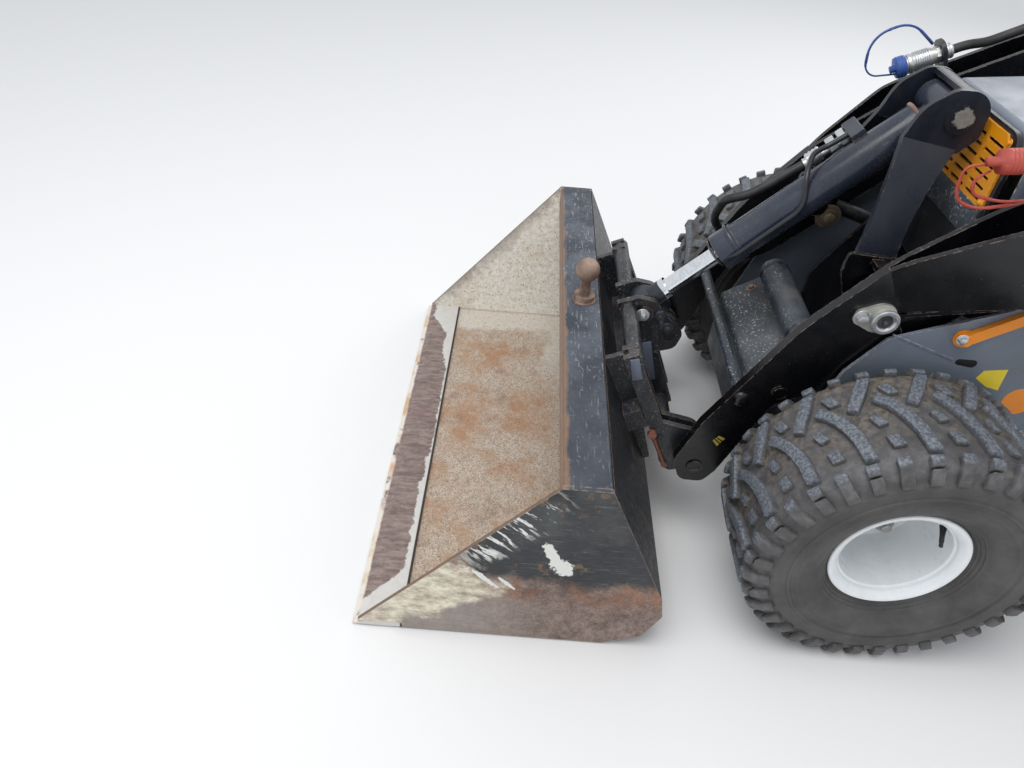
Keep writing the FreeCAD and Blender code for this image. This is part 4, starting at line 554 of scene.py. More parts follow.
def flaked_pin():
    """The tilt pin's end is painted with the portal; in the middle the paint has flaked off."""
    f = Finish("Flaked_pin_end")
    dy = f.maths("SUBTRACT", f.axis(f.place, "Y"), -0.214)
    dz = f.maths("SUBTRACT", f.axis(f.place, "Z"), 0.880)
    reach = f.maths("POWER", f.maths("ADD", f.maths("MULTIPLY", dy, dy), f.maths("MULTIPLY", dz, dz)), 0.5)
    ragged = f.maths("MULTIPLY", f.maths("SUBTRACT", f.noise(120, 8, rough=0.75), 0.5), 0.03)
    flaked = f.ramp(f.maths("ADD", reach, ragged), 0.0165, 0.0145)
    paint = f.mix(f.noise(40, 5), shade(20, 22, 28), shade(38, 40, 46))
    steel = f.mix(f.noise(160, 6), shade(120, 118, 112), shade(176, 174, 168))
    f.bump(f.maths("ADD", f.noise(150, 6), f.maths("MULTIPLY", flaked, -0.8)), 0.5, 0.0008)
    return f.surface(f.mix(flaked, paint, steel), f.ramp(flaked, 0, 1, 0.3, 0.5), f.maths("MULTIPLY", flaked, 0.5))


def rod_finish():
    """Hard chrome with a black painted eye round the link pin."""
    f = Finish("Tilt_rod_chrome")
    dy = f.maths("ADD", f.axis(f.place, "Y"), 0.666)
    dz = f.maths("SUBTRACT", f.axis(f.place, "Z"), 0.429)
    reach = f.maths("POWER", f.maths("ADD", f.maths("MULTIPLY", dy, dy), f.maths("MULTIPLY", dz, dz)), 0.5)
    eye = f.ramp(reach, 0.0565, 0.0555)
    shine = f.mix(f.ramp(f.noise(30, 5, stretch=(1, 5, 5)), 0.4, 0.65), shade(238, 240, 244), shade(222, 226, 231))
    paint = f.mix(f.noise(30, 6), shade(24, 27, 34), shade(50, 54, 62))
    f.bump(f.noise(160, 5), 0.1, 0.0005)
    return f.surface(f.mix(eye, shine, paint), f.ramp(eye, 0.0, 1.0, 0.14, 0.36), f.maths("SUBTRACT", 1.0, eye))


def pipe_finish():
    """Black painted steel pipe; its fittings beside the hose, left of the cylinder's middle, are bare zinc."""
    f = Finish("Pipe_and_fittings")
    bare = f.ramp(f.axis(f.place, "X"), -0.040, -0.043)
    cloudy = f.noise(40, 6)
    black = f.mix(cloudy, shade(20, 21, 25), shade(44, 46, 52))
    plated = f.mix(cloudy, shade(186, 186, 182), shade(214, 214, 210))
    f.bump(f.noise(180, 5), 0.15, 0.0005)
    return f.surface(f.mix(bare, black, plated), 0.33, f.maths("MULTIPLY", bare, 0.8))


pipe_steel = pipe_finish()
rod_chrome = rod_finish()
chrome = metal("Hard_chrome", shade(236, 238, 242), shade(222, 225, 230), 0.12, 0.1, grain=(1, 6, 6), dirt=0.1)
zinc = metal("Zinc_plate", shade(208, 207, 202), shade(186, 185, 177), 0.34, 0.2, dirt=0.3, metallic=0.75)
silver = metal("Bright_bolt_steel", shade(214, 216, 218), shade(190, 193, 196), 0.25, 0.2, dirt=0.25, bumpy=0.3,
               metallic=0.85)
rust_brown = metal("Brown_rust", shade(92, 72, 62), shade(166, 142, 126), 0.6, 0.25, dirt=0.5,
                   dirt_colour=shade(166, 128, 100), bumpy=0.8, metallic=0.2)
copper = metal("Copper_brown_steel", shade(158, 104, 88), shade(130, 82, 68), 0.42, 0.2, dirt=0.3, bumpy=0.3,
               metallic=0.5)
iron = metal("Engine_iron", shade(62, 63, 66), shade(76, 76, 78), 0.5, 0.2, dirt=0.4, bumpy=0.6, metallic=0.5)
dusty_zinc = metal("Dusty_zinc", shade(128, 116, 98), shade(98, 86, 70), 0.5, 0.2, dirt=0.5, metallic=0.3)
# The lift rods get a dark, dull chrome.
dull_rod = metal("Dark_dull_rod", shade(70, 72, 76), shade(50, 52, 56), 0.3, 0.15, dirt=0.3, metallic=0.6)
brass = metal("Brass", shade(196, 156, 76), shade(166, 128, 58), 0.3, 0.2, dirt=0.3)
pin_end = flaked_pin()
print("metals ready")

# %% [markdown]
# Rubber and plastic have no metal in them and little colour. The tyre's dirt follows its shape: the height
# attribute puts dried mud between the lugs and leaves their tops scuffed dark grey.

# %% Rubber and plastic
def moulded(name, colour, tone, rough=0.5, grain=900.0, strength=0.15, dust=0.2, seed=0.0):
    f = Finish(name)
    base = f.mix(f.ramp(f.noise(9 + seed, 6), 0.38, 0.66), colour, tone)
    veil = f.maths("MULTIPLY", f.ramp(f.axis(f.normal, "Z"), 0.0, 0.9, 0.3, 1.0),
                   f.ramp(f.noise(24 + seed, 8, rough=0.7), 0.45, 0.75, 0.0, dust))
    base = f.mix(veil, base, DUST)
    f.bump(f.maths("ADD", f.noise(grain, 2), f.maths("MULTIPLY", f.noise(40, 4), 0.3)), strength, 0.0005)
    return f.surface(base, f.maths("ADD", f.ramp(f.noise(30, 4), 0.3, 0.7, rough - 0.06, rough + 0.1), veil))


def tread_rubber():
    f = Finish("Tyre_rubber")
    height = f.add("ShaderNodeAttribute", attribute_name="height").outputs["Fac"]
    inboard = f.ramp(f.maths("ABSOLUTE", f.axis(f.place, "X")), 0.49, 0.41)
    patch = f.noise(16, 8, rough=0.7)
    rubber = f.mix(f.ramp(patch, 0.35, 0.7), shade(54, 53, 53), shade(74, 71, 69))
    lugs = f.mix(f.ramp(f.noise(210, 7, rough=0.6), 0.4, 0.64), shade(76, 79, 86), shade(120, 126, 134))
    colour = f.mix(f.ramp(height, 0.259, 0.266), rubber, lugs)
    dull = f.mix(f.ramp(f.noise(60, 6), 0.4, 0.62), shade(84, 83, 85), shade(108, 106, 107))
    valley = f.maths("MULTIPLY", f.ramp(height, 0.2655, 0.2585), f.ramp(height, 0.205, 0.238))
    colour = f.mix(f.maths("MULTIPLY", valley, f.ramp(f.noise(20, 8, rough=0.7), 0.36, 0.6, 0.2, 0.9)), colour, dull)
    mud = f.mix(f.ramp(f.noise(90, 6), 0.4, 0.62), shade(66, 60, 54), shade(130, 119, 104))
    caked = f.maths("MULTIPLY", f.maths("MULTIPLY", valley, inboard), f.ramp(f.noise(24, 8, rough=0.72), 0.44, 0.56))
    colour = f.mix(f.maths("MULTIPLY", caked, 0.6), colour, mud)
    splashes = f.ramp(f.noise(46, 9, rough=0.75), 0.62, 0.7, 0.0, 0.45)
    colour = f.mix(splashes, colour, mud)
    dusty = f.ramp(f.noise(8, 6), 0.4, 0.7, 0.05, 0.3)
    colour = f.mix(f.maths("MULTIPLY", dusty, f.ramp(height, 0.24, 0.2)), colour, shade(116, 114, 112))
    relief = f.maths("ADD", f.maths("MULTIPLY", f.noise(300, 4), 0.5), f.maths("MULTIPLY", caked, f.noise(60, 6)))
    f.bump(relief, 0.35, 0.0015)
    return f.surface(colour, f.maths("ADD", 0.6, f.maths("MULTIPLY", caked, 0.25)))


tyre_finish = tread_rubber()
hose_finish = moulded("Hose_rubber", shade(22, 22, 23), shade(34, 34, 35), 0.45, dust=0.25)
plastic = moulded("Console_plastic", shade(36, 37, 39), shade(44, 45, 47), 0.5, grain=1400, dust=0.2)
cap_red = moulded("Red_cap_rubber", shade(188, 78, 64), shade(166, 62, 50), 0.42, dust=0.2)
cap_blue = moulded("Blue_cap_rubber", shade(54, 88, 160), shade(44, 72, 138), 0.4, dust=0.15)
grip_rubber = moulded("Grip_rubber", shade(26, 26, 27), shade(36, 36, 37), 0.6, dust=0.2)
vinyl = moulded("Rest_vinyl", shade(32, 32, 34), shade(44, 44, 46), 0.44, grain=700, strength=0.3, dust=0.22)
sticker_yellow = moulded("Yellow_sticker", shade(240, 214, 40), shade(224, 196, 34), 0.35, strength=0.05, dust=0.2)
aged_foil = moulded("Aged_tag_foil", shade(184, 164, 66), shade(144, 124, 50), 0.4, strength=0.05, dust=0.25)
sticker_orange = moulded("Orange_disc_sticker", shade(246, 150, 34), shade(234, 134, 26), 0.35, strength=0.05, dust=0.2)
lamp_red = moulded("Lamp_red_lens", shade(160, 22, 20), shade(136, 16, 16), 0.12, strength=0.1, dust=0.15)
glass_grey = moulded("Gauge_glass", shade(206, 208, 206), shade(190, 192, 192), 0.08, strength=0.02, dust=0.1)
# Black for the tags' printed bars, and painted shade in the panel slots and the key slot, where thin black sheets stand
# for the dark openings.
hole_shade_and_print_black = moulded("Hole_shade_and_print_black", shade(5, 5, 6), shade(9, 9, 10), 0.7, dust=0.02)
red_plastic = moulded("Red_switch", shade(190, 34, 28), shade(168, 26, 22), 0.35, dust=0.15)
seam_thread = moulded("Seam_thread", shade(88, 88, 90), shade(70, 70, 72), 0.6, dust=0.1)
print("rubber and plastic ready")

# %% [markdown]
# Most small parts of a machine come off a lathe or out of sheet: hubs, nuts, couplers, knobs, plates.
# Two helpers follow the same ways of making. Both start from one vertex that is extruded along a profile;
# the first spins it round an axis, the second fills it and gives it a thickness.

# %% Lathe and press
def outline_mesh(name, points):
    """A chain of edges through points, drawn by extruding one vertex; leaves edit mode on."""
    deselect()
    bpy.ops.mesh.primitive_plane_add(size=0.002)
    made = bpy.context.object
    made.name = name
    bpy.ops.object.mode_set(mode="EDIT")
    bpy.ops.mesh.select_all(action="SELECT")
    bpy.ops.mesh.merge(type="CENTER")
    bpy.ops.transform.translate(value=points[0])
    for before, after in zip(points, points[1:]):
        step = Vector(after) - Vector(before)
        bpy.ops.mesh.extrude_region_move(TRANSFORM_OT_translate={"value": step})
    return made


def settle(made, place=None, smooth=35, bevel=0.0, segments=2):
    """Merge, face outwards, bevel, smooth and put a finished mesh where it belongs."""
    bpy.ops.mesh.select_all(action="SELECT")
    bpy.ops.mesh.remove_doubles(threshold=0.00002)
    bpy.ops.mesh.normals_make_consistent(inside=False)
    bpy.ops.object.mode_set(mode="OBJECT")
    if bevel:
        edge = made.modifiers.new("Edges", "BEVEL")
        edge.width = bevel
        edge.segments = segments
        edge.limit_method = "ANGLE"
        edge.angle_limit = math.radians(32)
        bpy.ops.object.modifier_apply(modifier=edge.name)
    if place is not None:
        made.matrix_world = place
        bpy.ops.object.transform_apply(location=True, rotation=True, scale=True)
    bpy.ops.object.shade_smooth_by_angle(angle=math.radians(smooth))
    return made


def facing(direction, spot):
    """Matrix that turns local X into direction and moves the origin to spot."""
    turn = Vector((1, 0, 0)).rotation_difference(Vector(direction))
    return Matrix.Translation(spot) @ turn.to_matrix().to_4x4()


def lathe(name, profile, spot=(0, 0, 0), direction=(1, 0, 0), steps=48, smooth=35):
    """Spin a profile of (along, radius) about the line through spot."""
    made = outline_mesh(name, [(along, 0, radius) for along, radius in profile])
    bpy.ops.mesh.select_all(action="SELECT")
    bpy.ops.mesh.spin(steps=steps, angle=2 * math.pi, center=(0, 0, 0), axis=(1, 0, 0))
    return settle(made, facing(direction, spot), smooth)


def press(name, outline, thickness, place=None, bevel=0.0006, segments=2, smooth=35):
    """Cut an outline of (u, v) from sheet: u and v become Y and Z, the thickness runs along X."""
    made = outline_mesh(name, [(0, u, v) for u, v in outline])
    bpy.ops.mesh.select_all(action="SELECT")
    bpy.ops.mesh.edge_face_add()
    bpy.ops.mesh.select_all(action="SELECT")
    bpy.ops.mesh.extrude_region_move(TRANSFORM_OT_translate={"value": (thickness, 0, 0)})
    return settle(made, place, smooth, bevel, segments)


def copies(pattern, places, keep=False):
    """Copies of a piece, each with its own mesh, one for each matrix."""
    made = []
    for place in places:
        twin = pattern.copy()
        twin.data = pattern.data.copy()
        bpy.context.scene.collection.objects.link(twin)
        twin.data.transform(place)
        if place.determinant() < 0:
            twin.data.flip_normals()
        made.append(twin)
    if not keep:
        bpy.data.objects.remove(pattern)
    return made


def joined(name, parts):
    deselect()
    for part in parts:
        part.select_set(True)
    bpy.context.view_layer.objects.active = parts[0]
    if len(parts) > 1:
        bpy.ops.object.join()
    whole = bpy.context.object
    whole.name = name
    return whole


def coat(piece, *materials):
    piece.data.materials.clear()
    for material in materials:
        piece.data.materials.append(material)
    return piece


MIRROR = Matrix.Scale(-1, 4, (1, 0, 0))
print("helpers ready")

# %% [markdown]
# A bolt head is a hexagon whose corners are turned off, on a washer. Dozens are needed, so one is modelled
# at unit size, with few faces, and copied to every place with its own direction and width.

# %% Bolts
def bolt_pattern(washer=True):
    """Bolt head one unit across its flats, sitting on the plane x = 0 and pointing along X."""
    deselect()
    bpy.ops.mesh.primitive_cylinder_add(vertices=6, radius=0.577, depth=0.56, rotation=(0, math.pi / 2, 0),
                                        location=(0.40, 0, 0))
    head = bpy.context.object
    bpy.ops.object.transform_apply(location=True, rotation=True, scale=True)
    bpy.ops.object.mode_set(mode="EDIT")
    settle(head, bevel=0.05, segments=2)
    if not washer:
        return head
    ring = lathe("Washer", [(0, 0), (0, 0.86), (0.10, 0.90), (0.14, 0.86), (0.14, 0)], steps=20)
    return joined("Bolt_pattern", [head, ring])


BOLT = bolt_pattern()


def bolts(name, seats):
    """Bolts from a table of (spot, direction, width across flats), joined as one piece."""
    places = [facing(direction, spot) @ Matrix.Rotation(0.4 * i, 4, "X") @ Matrix.Scale(width, 4)
              for i, (spot, direction, width) in enumerate(seats)]
    return joined(name, copies(BOLT, places, keep=True))

# %% [markdown]
# The tyres are what a loader stands out by: wide, with tall slanting lugs, small blocks between them and bars
# that fold over the shoulder. The carcass is a turned shape. One pitch of the tread is pressed flat, as in a
# mould's drawing, then rolled round the carcass and repeated; rolling is plain mathematics on the vertices,
# which keeps each lug's top a true arc. An attribute remembers how high each point stands, for the mud.

# %% Tyre carcass and tread
TYRE_R = 0.270
TREAD_FLOOR = 0.2575
PITCHES = 18
PITCH = 2 * math.pi / PITCHES
WHEEL_X = 0.415
WHEELS = [("front_left", 1, -0.234), ("front_right", -1, -0.234), ("rear_left", 1, 0.506),
          ("rear_right", -1, 0.506)]

BEAD_AND_WALL = [
    (0.086, 0.1035), (0.089, 0.119), (0.092, 0.1225), (0.0945, 0.1225), (0.0955, 0.1265), (0.099, 0.1275),
    (0.1005, 0.132), (0.1035, 0.133), (0.1045, 0.1375), (0.1085, 0.140), (0.1125, 0.146), (0.1165, 0.154),
    (0.1195, 0.163), (0.1213, 0.172), (0.1232, 0.1735), (0.1236, 0.178), (0.1222, 0.1795), (0.1222, 0.1880),
    (0.1242, 0.1892), (0.1248, 0.1915), (0.1242, 0.1938), (0.1222, 0.1950), (0.1220, 0.2020), (0.1210, 0.211), (0.1222, 0.2145), (0.1205, 0.2185), (0.1183, 0.2225), (0.1165, 0.2315),
    (0.1135, 0.2405), (0.1085, 0.2485), (0.1010, 0.2545), (0.0900, 0.2570), (0.050, 0.2575),
]


def carcass():
    half = BEAD_AND_WALL
    return lathe("Carcass", half + [(-x, r) for x, r in reversed(half)] + [half[0]], steps=120, smooth=50)


def rolled(part):
    """Roll a flat tread part round the wheel: X across, Y round the tyre at its radius, Z from the axle."""
    for vertex in part.data.vertices:
        x, y, z = vertex.co
        angle = y / TYRE_R
        vertex.co = (x, z * math.sin(angle), z * math.cos(angle))
    part.data.update()
    return part


def block(name, outline, low, high, bevel=0.0022, cuts=2):
    """One tread block: outline in (across, round) in millimetres, its sides sloping out to its root."""
    made = outline_mesh(name, [(x / 1000, y / 1000, high) for x, y in outline])
    bpy.ops.mesh.select_all(action="SELECT")
    bpy.ops.mesh.edge_face_add()
    bpy.ops.mesh.select_all(action="SELECT")
    bpy.ops.mesh.extrude_region_move(TRANSFORM_OT_translate={"value": (0, 0, low - high)})
    bpy.ops.transform.resize(value=(1.05, 1.12, 1))
    bpy.ops.mesh.select_all(action="SELECT")
    bpy.ops.mesh.subdivide(number_cuts=cuts)
    return rolled(settle(made, bevel=bevel))


LONG_LUG = [(-35, -7), (-20, 7), (-2, 18), (17, 26), (46, 34), (88, 38), (88, 58), (40, 54), (15, 47), (-8, 37),
            (-31, 23), (-49, 7)]
SHORT_LUG = [(-15, 60), (-25, 44), (-55, 60), (-88, 78), (-88, 99), (-50, 81)]
SMALL_BLOCKS = [
    [(0, -23), (23, -14), (19, 2), (-5, -8)],
    [(46, -11), (71, -7), (70, 13), (45, 8)],
    [(-69, 11), (-46, 21), (-48, 40), (-72, 31)],
]
# Bars over the shoulder as (x, radius), and where each stands in the pitch
SHOULDER_BAR = [(95, 247), (96, 267.6), (103, 267.6), (112, 263), (121, 246), (126.4, 224), (113, 221), (104, 243)]
SHOULDER_SQUARES = [
    [(97, 248), (98, 267.2), (106, 267), (115.5, 259.5), (109, 244)],
    [(111, 240), (117.5, 256.5), (122.5, 243), (126.2, 226), (114, 222)],
]
BAR_WIDTH = 20
BAR_AT = 9.4


def bar(profile):
    made = press("Bar", [(x / 1000, r / 1000) for x, r in profile], BAR_WIDTH / 1000, bevel=0.002)
    made.data.transform(Matrix(((0, 1, 0, 0), (-1, 0, 0, BAR_WIDTH / 2000), (0, 0, 1, 0), (0, 0, 0, 1))))
    return made


def tread():
    parts = [block("Lug", LONG_LUG, 0.250, TYRE_R), block("Lug", SHORT_LUG, 0.250, TYRE_R)]
    parts += [block("Block", outline, 0.252, 0.2655, bevel=0.0018, cuts=1) for outline in SMALL_BLOCKS]
    plain = bar(SHOULDER_BAR)
    split = joined("Squares", [bar(profile) for profile in SHOULDER_SQUARES])
    for shape, angle in ((plain, BAR_AT + 10), (split, BAR_AT)):
        turn = Matrix.Rotation(-math.radians(angle), 4, "X")
        parts += copies(shape, [turn, turn @ MIRROR])
    pitch = joined("Pitch", parts)
    return copies(pitch, [Matrix.Rotation(-PITCH * i, 4, "X") for i in range(PITCHES)])


tyre = joined("Tyre", [carcass()] + tread())
heights = tyre.data.attributes.new("height", "FLOAT", "POINT")
heights.data.foreach_set("value", [math.hypot(v.co.y, v.co.z) for v in tyre.data.vertices])
print("tyre faces", len(tyre.data.polygons))

# %% [markdown]
# The same tyre serves all four wheels: it is copied with its own mesh, mirrored on the right side, and stands
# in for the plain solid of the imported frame, which keeps the lugs' places.

# %% Four tyres
def on_wheels(pattern, kind):
    for wheel, side, y in WHEELS:
        place = Matrix.Translation((side * WHEEL_X, y, TYRE_R))
        if side < 0:
            place = place @ MIRROR
        twin = copies(pattern, [place], keep=True)[0]
        twin.name = "%s_%s" % (kind, wheel)
        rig.ride(twin, "wheel_" + wheel)
        yield twin, wheel
    bpy.data.objects.remove(pattern)


deselect()
coat(tyre, tyre_finish)
for piece, wheel in on_wheels(tyre, "Tyre"):
    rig.replaces(piece, "tyre_" + wheel)
    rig.slot(piece, "tyre_rubber")

# %% [markdown]
# The rim is pressed from thick sheet: a rolled lip, a bead seat with a small step, a deep dish and a disc that
# bolts to the hub. It is one lathe profile; the valve stem, wheel nuts and the hub's cap are set on it.

# %% Rims
NUT_CIRCLE = 0.064
NUTS = 5


def rim():
    outer = [
        (-0.093, 0.1165), (-0.0885, 0.1165), (-0.0885, 0.1015), (-0.060, 0.1015), (0.0855, 0.1015), (0.0855, 0.1150),
        (0.0880, 0.1172), (0.0915, 0.1172), (0.0930, 0.1155), (0.0930, 0.1125), (0.0912, 0.1075), (0.0885, 0.1045),
        (0.0840, 0.0995), (0.0810, 0.0982), (0.0765, 0.0980), (0.0752, 0.0962), (0.0742, 0.0940), (0.0700, 0.0932),
        (0.0500, 0.0925), (0.0200, 0.0905), (-0.0300, 0.0900), (-0.0380, 0.0870), (-0.0405, 0.0800),
        (-0.0365, 0.0760), (-0.0365, 0.0520), (-0.0420, 0.0470), (-0.0420, 0.0245), (-0.0500, 0.0245),
        (-0.0500, 0.0880), (-0.0560, 0.0930), (-0.0880, 0.0945), (-0.0930, 0.0960), (-0.093, 0.1165),
    ]
    return lathe("Rim", outer, steps=96)


hoop = coat(rim(), white_paint)
cap = lathe("Hub_cap", [(-0.048, 0), (-0.048, 0.036), (-0.041, 0.036), (-0.039, 0.033), (-0.020, 0.031),
                        (-0.016, 0.027), (-0.0145, 0.020), (-0.0145, 0.0)], steps=48)
coat(cap, black_paint)
nut_seats = []
for i in range(NUTS):
    angle = 2 * math.pi * i / NUTS
    spot = (-0.0365, NUT_CIRCLE * math.sin(angle), NUT_CIRCLE * math.cos(angle))
    nut_seats.append((spot, (1, 0, 0), 0.019))
nuts = coat(bolts("Wheel_nuts", nut_seats), zinc)
valve_foot = Vector((0.050, 0.088 * math.sin(0.95), 0.088 * math.cos(0.95)))
valve = lathe("Valve", [(0, 0), (0, 0.0065), (0.006, 0.0055), (0.018, 0.0042), (0.032, 0.0040), (0.033, 0.0033),
                        (0.041, 0.0033), (0.042, 0.0)], valve_foot, (0.9, -0.36, -0.26), steps=16)
coat(valve, grip_rubber)
wheel_parts = joined("Rim", [hoop, cap, nuts, valve])
for piece, wheel in on_wheels(wheel_parts, "Rim"):
    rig.replaces(piece, "rim_" + wheel)
    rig.slot(piece, "rim_white")
print("wheels done")

# %% [markdown]
# From here on the small hardware is made, group by group. Each finished piece gets its material, the body it
# rides on and the material slot it belongs to; left and right pieces are drawn once, on the left, and mirrored.

# %% Fitting a piece
def fit(piece, body, slot, *materials):
    coat(piece, *materials)
    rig.ride(piece, body)
    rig.slot(piece, slot)
    print("%-20s %6d faces on %s" % (piece.name, len(piece.data.polygons), body))
    return piece


def mirrored(name, *parts):
    """The parts and their mirror images as one piece."""
    twins = [twin for part in parts for twin in copies(part, [MIRROR], keep=True)]
    return joined(name, list(parts) + twins)


# %% [markdown]
# A weld is a row of small overlapping beads. One flattened bead with few faces is copied along a line or a ring.

# %% Weld beads
def bead(size):
    deselect()
    bpy.ops.mesh.primitive_ico_sphere_add(subdivisions=1, radius=size)
    made = bpy.context.object
    bpy.ops.object.mode_set(mode="EDIT")
    bpy.ops.mesh.select_all(action="SELECT")
    bpy.ops.mesh.subdivide(number_cuts=1, smoothness=1.0)
    bpy.ops.transform.resize(value=(0.7, 1.0, 1.0))
    return settle(made, smooth=60)


def weld_line(name, start, end, size=0.0035):
    start, end = Vector(start), Vector(end)
    count = max(2, int((end - start).length / (size * 0.9)))
    turn = facing(end - start, (0, 0, 0))
    places = [Matrix.Translation(start.lerp(end, i / (count - 1))) @ turn @ Matrix.Rotation(0.9 * i, 4, "X")
              for i in range(count)]
    return joined(name, copies(bead(size), places))


def weld_ring(name, centre, axis, radius, size=0.003):
    frame_turn = facing(axis, centre)
    count = int(2 * math.pi * radius / (size * 0.9))
    places = []
    for i in range(count):
        angle = 2 * math.pi * i / count
        spot = Matrix.Translation((0, radius * math.sin(angle), radius * math.cos(angle)))
        places.append(frame_turn @ spot @ Matrix.Rotation(-angle, 4, "X") @ Matrix.Rotation(math.pi / 2, 4, "Z"))
    return joined(name, copies(bead(size), places))


# %% [markdown]
# The welds that show: inside the bucket where its floor and back meet the end plates, round the tow ball's
# foot, round both ends of the cross tube, and a bare brown one where the tilt cylinder's eye meets its barrel.

# %% Welds
END_X = 0.5355
bucket_welds = mirrored("Bucket_welds",
                        weld_line("Floor_weld", (END_X, -1.090, 0.0125), (END_X, -0.722, 0.0125)),
                        weld_line("Heel_weld", (END_X, -0.720, 0.0130), (END_X, -0.655, 0.0420)))
fit(bucket_welds, "bucket", "bucket_black", bucket_finish)
fit(weld_ring("Ball_weld", (0, -0.785, 0.4245), (0, 0, 1), 0.0225), "bucket", "ball_rust", rust_brown)
tube_welds = mirrored("Cross_tube_welds", weld_ring("Tube_weld", (0.2385, -0.492, 0.398), (1, 0, 0), 0.0125))
fit(tube_welds, "loader_arms", "arm_black", arm_paint)

TILT_TOP = Vector((0, -0.218, 0.876))
LINK_PIN = Vector((0, -0.666, 0.429))
TILT_ALONG = (LINK_PIN - TILT_TOP).normalized()
TILT_OFF = Vector((0, TILT_ALONG.z, -TILT_ALONG.y))


def on_tilt(x, along, off):
    return TILT_TOP + TILT_ALONG * along + TILT_OFF * off + Vector((x, 0, 0))


eye_weld = weld_ring("Eye_weld", on_tilt(0, 0.041, 0), TILT_ALONG, 0.0335, size=0.004)
fit(eye_weld, "tilt_barrel", "barrel_black", rust_brown)

# %% [markdown]
# The tilt cylinder's fittings are turned and milled steel: two hexagon nuts behind the port block, a ferrule
# crimped in rings on the hose, and on the barrel's end the gland with its wiper. Hexagons are lathe work with
# six steps, which is how a bar with six flats looks.

# %% Cylinder fittings
PORT_X = -0.058
PORT_OFF = 0.026


def hexagon(name, start, end, radius, spot, direction):
    """A nut between two distances along a direction, its corners turned off."""
    lip = 0.0012
    return lathe(name, [(start, 0), (start, radius - lip), (start + lip, radius), (end - lip, radius),
                        (end, radius - lip), (end, 0)], spot, direction, steps=6, smooth=20)


def ribbed(name, start, end, low, high, ribs, spot, direction, steps=40):
    """A sleeve with rounded ribs between two distances."""
    profile = [(start, 0), (start, low)]
    pitch = (end - start) / ribs
    for i in range(ribs):
        at = start + i * pitch
        profile += [(at + 0.15 * pitch, low), (at + 0.3 * pitch, high), (at + 0.7 * pitch, high),
                    (at + 0.85 * pitch, low)]
    profile += [(end, low), (end, 0)]
    return lathe(name, profile, spot, direction, steps=steps, smooth=50)


foot = on_tilt(PORT_X, 0, PORT_OFF)
fittings = [hexagon("Port_nut", 0.146, 0.160, 0.0175, foot, TILT_ALONG),
            hexagon("Hose_nut", 0.166, 0.182, 0.0160, foot, TILT_ALONG),
            ribbed("Ferrule", 0.196, 0.2240, 0.0128, 0.0142, 4, foot, TILT_ALONG)]
fit(joined("Tilt_fittings", fittings), "tilt_barrel", "zinc_plate", silver)

GLAND_END = 0.4499
gland = [lathe("Gland_ring", [(0.406, 0.0378), (0.406, 0.0386), (0.4075, 0.0392), (0.410, 0.0392), (0.4115, 0.0386),
                              (0.4115, 0.0378)], TILT_TOP, TILT_ALONG, steps=72),
         lathe("Wiper", [(GLAND_END, 0.0175), (GLAND_END, 0.0300), (GLAND_END + 0.003, 0.0290),
                         (GLAND_END + 0.006, 0.0205), (GLAND_END + 0.006, 0.0175), (GLAND_END, 0.0175)],
               TILT_TOP, TILT_ALONG, steps=64)]
fit(joined("Tilt_gland", gland), "tilt_barrel", "barrel_black", barrel_paint)

# %% [markdown]
# Two quick couplers stand on the arms for the hoses of attachments. Their sleeves have deep ribs to grip with
# an oily glove, a groove for the locking balls and a hexagon on the stem.

# %% Quick couplers
COUPLER_BASE = Vector((0.262, -0.126, 0.895))
LEFT_OUT = Vector((0, -0.9955, -0.0944))
RIGHT_OUT = Vector((0, -0.9114, -0.4116))


def coupler_sleeve(out, length, ribs):
    return joined("Sleeve", [
        ribbed("Grip", 0.024, length - 0.016, 0.0180, 0.0196, ribs, COUPLER_BASE, out),
        hexagon("Stem_nut", 0.0042, 0.0128, 0.0172, COUPLER_BASE, out),
        lathe("Mouth_ring", [(length - 0.012, 0.015), (length - 0.012, 0.0186), (length - 0.010, 0.0192),
                             (length - 0.006, 0.0192), (length - 0.004, 0.0186), (length - 0.004, 0.015)],
              COUPLER_BASE, out, steps=40),
        ribbed("Crimp", -0.0178, -0.006, 0.0140, 0.0150, 2, COUPLER_BASE, out),
    ])


left_sleeve = coupler_sleeve(LEFT_OUT, 0.084, 9)
right_sleeve = coupler_sleeve(RIGHT_OUT, 0.068, 7)
right_sleeve.data.transform(Matrix.Translation((-2 * COUPLER_BASE.x, 0, 0)))
fit(joined("Coupler_sleeves", [left_sleeve, right_sleeve]), "loader_arms", "zinc_plate", silver)

# %% [markdown]
# The dust caps hang on loops of soft plastic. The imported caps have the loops' run but are thin wire there; a
# copy of each has its loop grown outwards to the real thickness, the cap itself stays as it is.

# %% Dust caps
def fuller_loop(node, name, side, out, material, slot):
    deselect()
    source = NODES[node]
    cap = source.copy()
    cap.data = source.data.copy()
    cap.name = name
    bpy.context.scene.collection.objects.link(cap)
    cap.select_set(True)
    bpy.context.view_layer.objects.active = cap
    bpy.ops.object.mode_set(mode="EDIT")
    bpy.ops.mesh.select_all(action="SELECT")
    bpy.ops.mesh.remove_doubles(threshold=0.00002)
    bpy.ops.mesh.normals_make_consistent(inside=False)
    bpy.ops.object.mode_set(mode="OBJECT")
    base = Vector((side * COUPLER_BASE.x, *COUPLER_BASE.yz))
    for vertex in cap.data.vertices:
        from_base = cap.matrix_world @ vertex.co - base
        off_axis = (from_base - out * from_base.dot(out)).length
        if off_axis > 0.0225:
            vertex.co += vertex.normal * 0.0012
    bpy.ops.object.shade_smooth_by_angle(angle=math.radians(50))
    fit(cap, "loader_arms", slot, material)
    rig.replaces(cap, node)


fuller_loop("coupler_cap_left", "Red_cap", 1, LEFT_OUT, cap_red, "cap_red")
fuller_loop("coupler_cap_right", "Blue_cap", -1, RIGHT_OUT, cap_blue, "cap_blue")

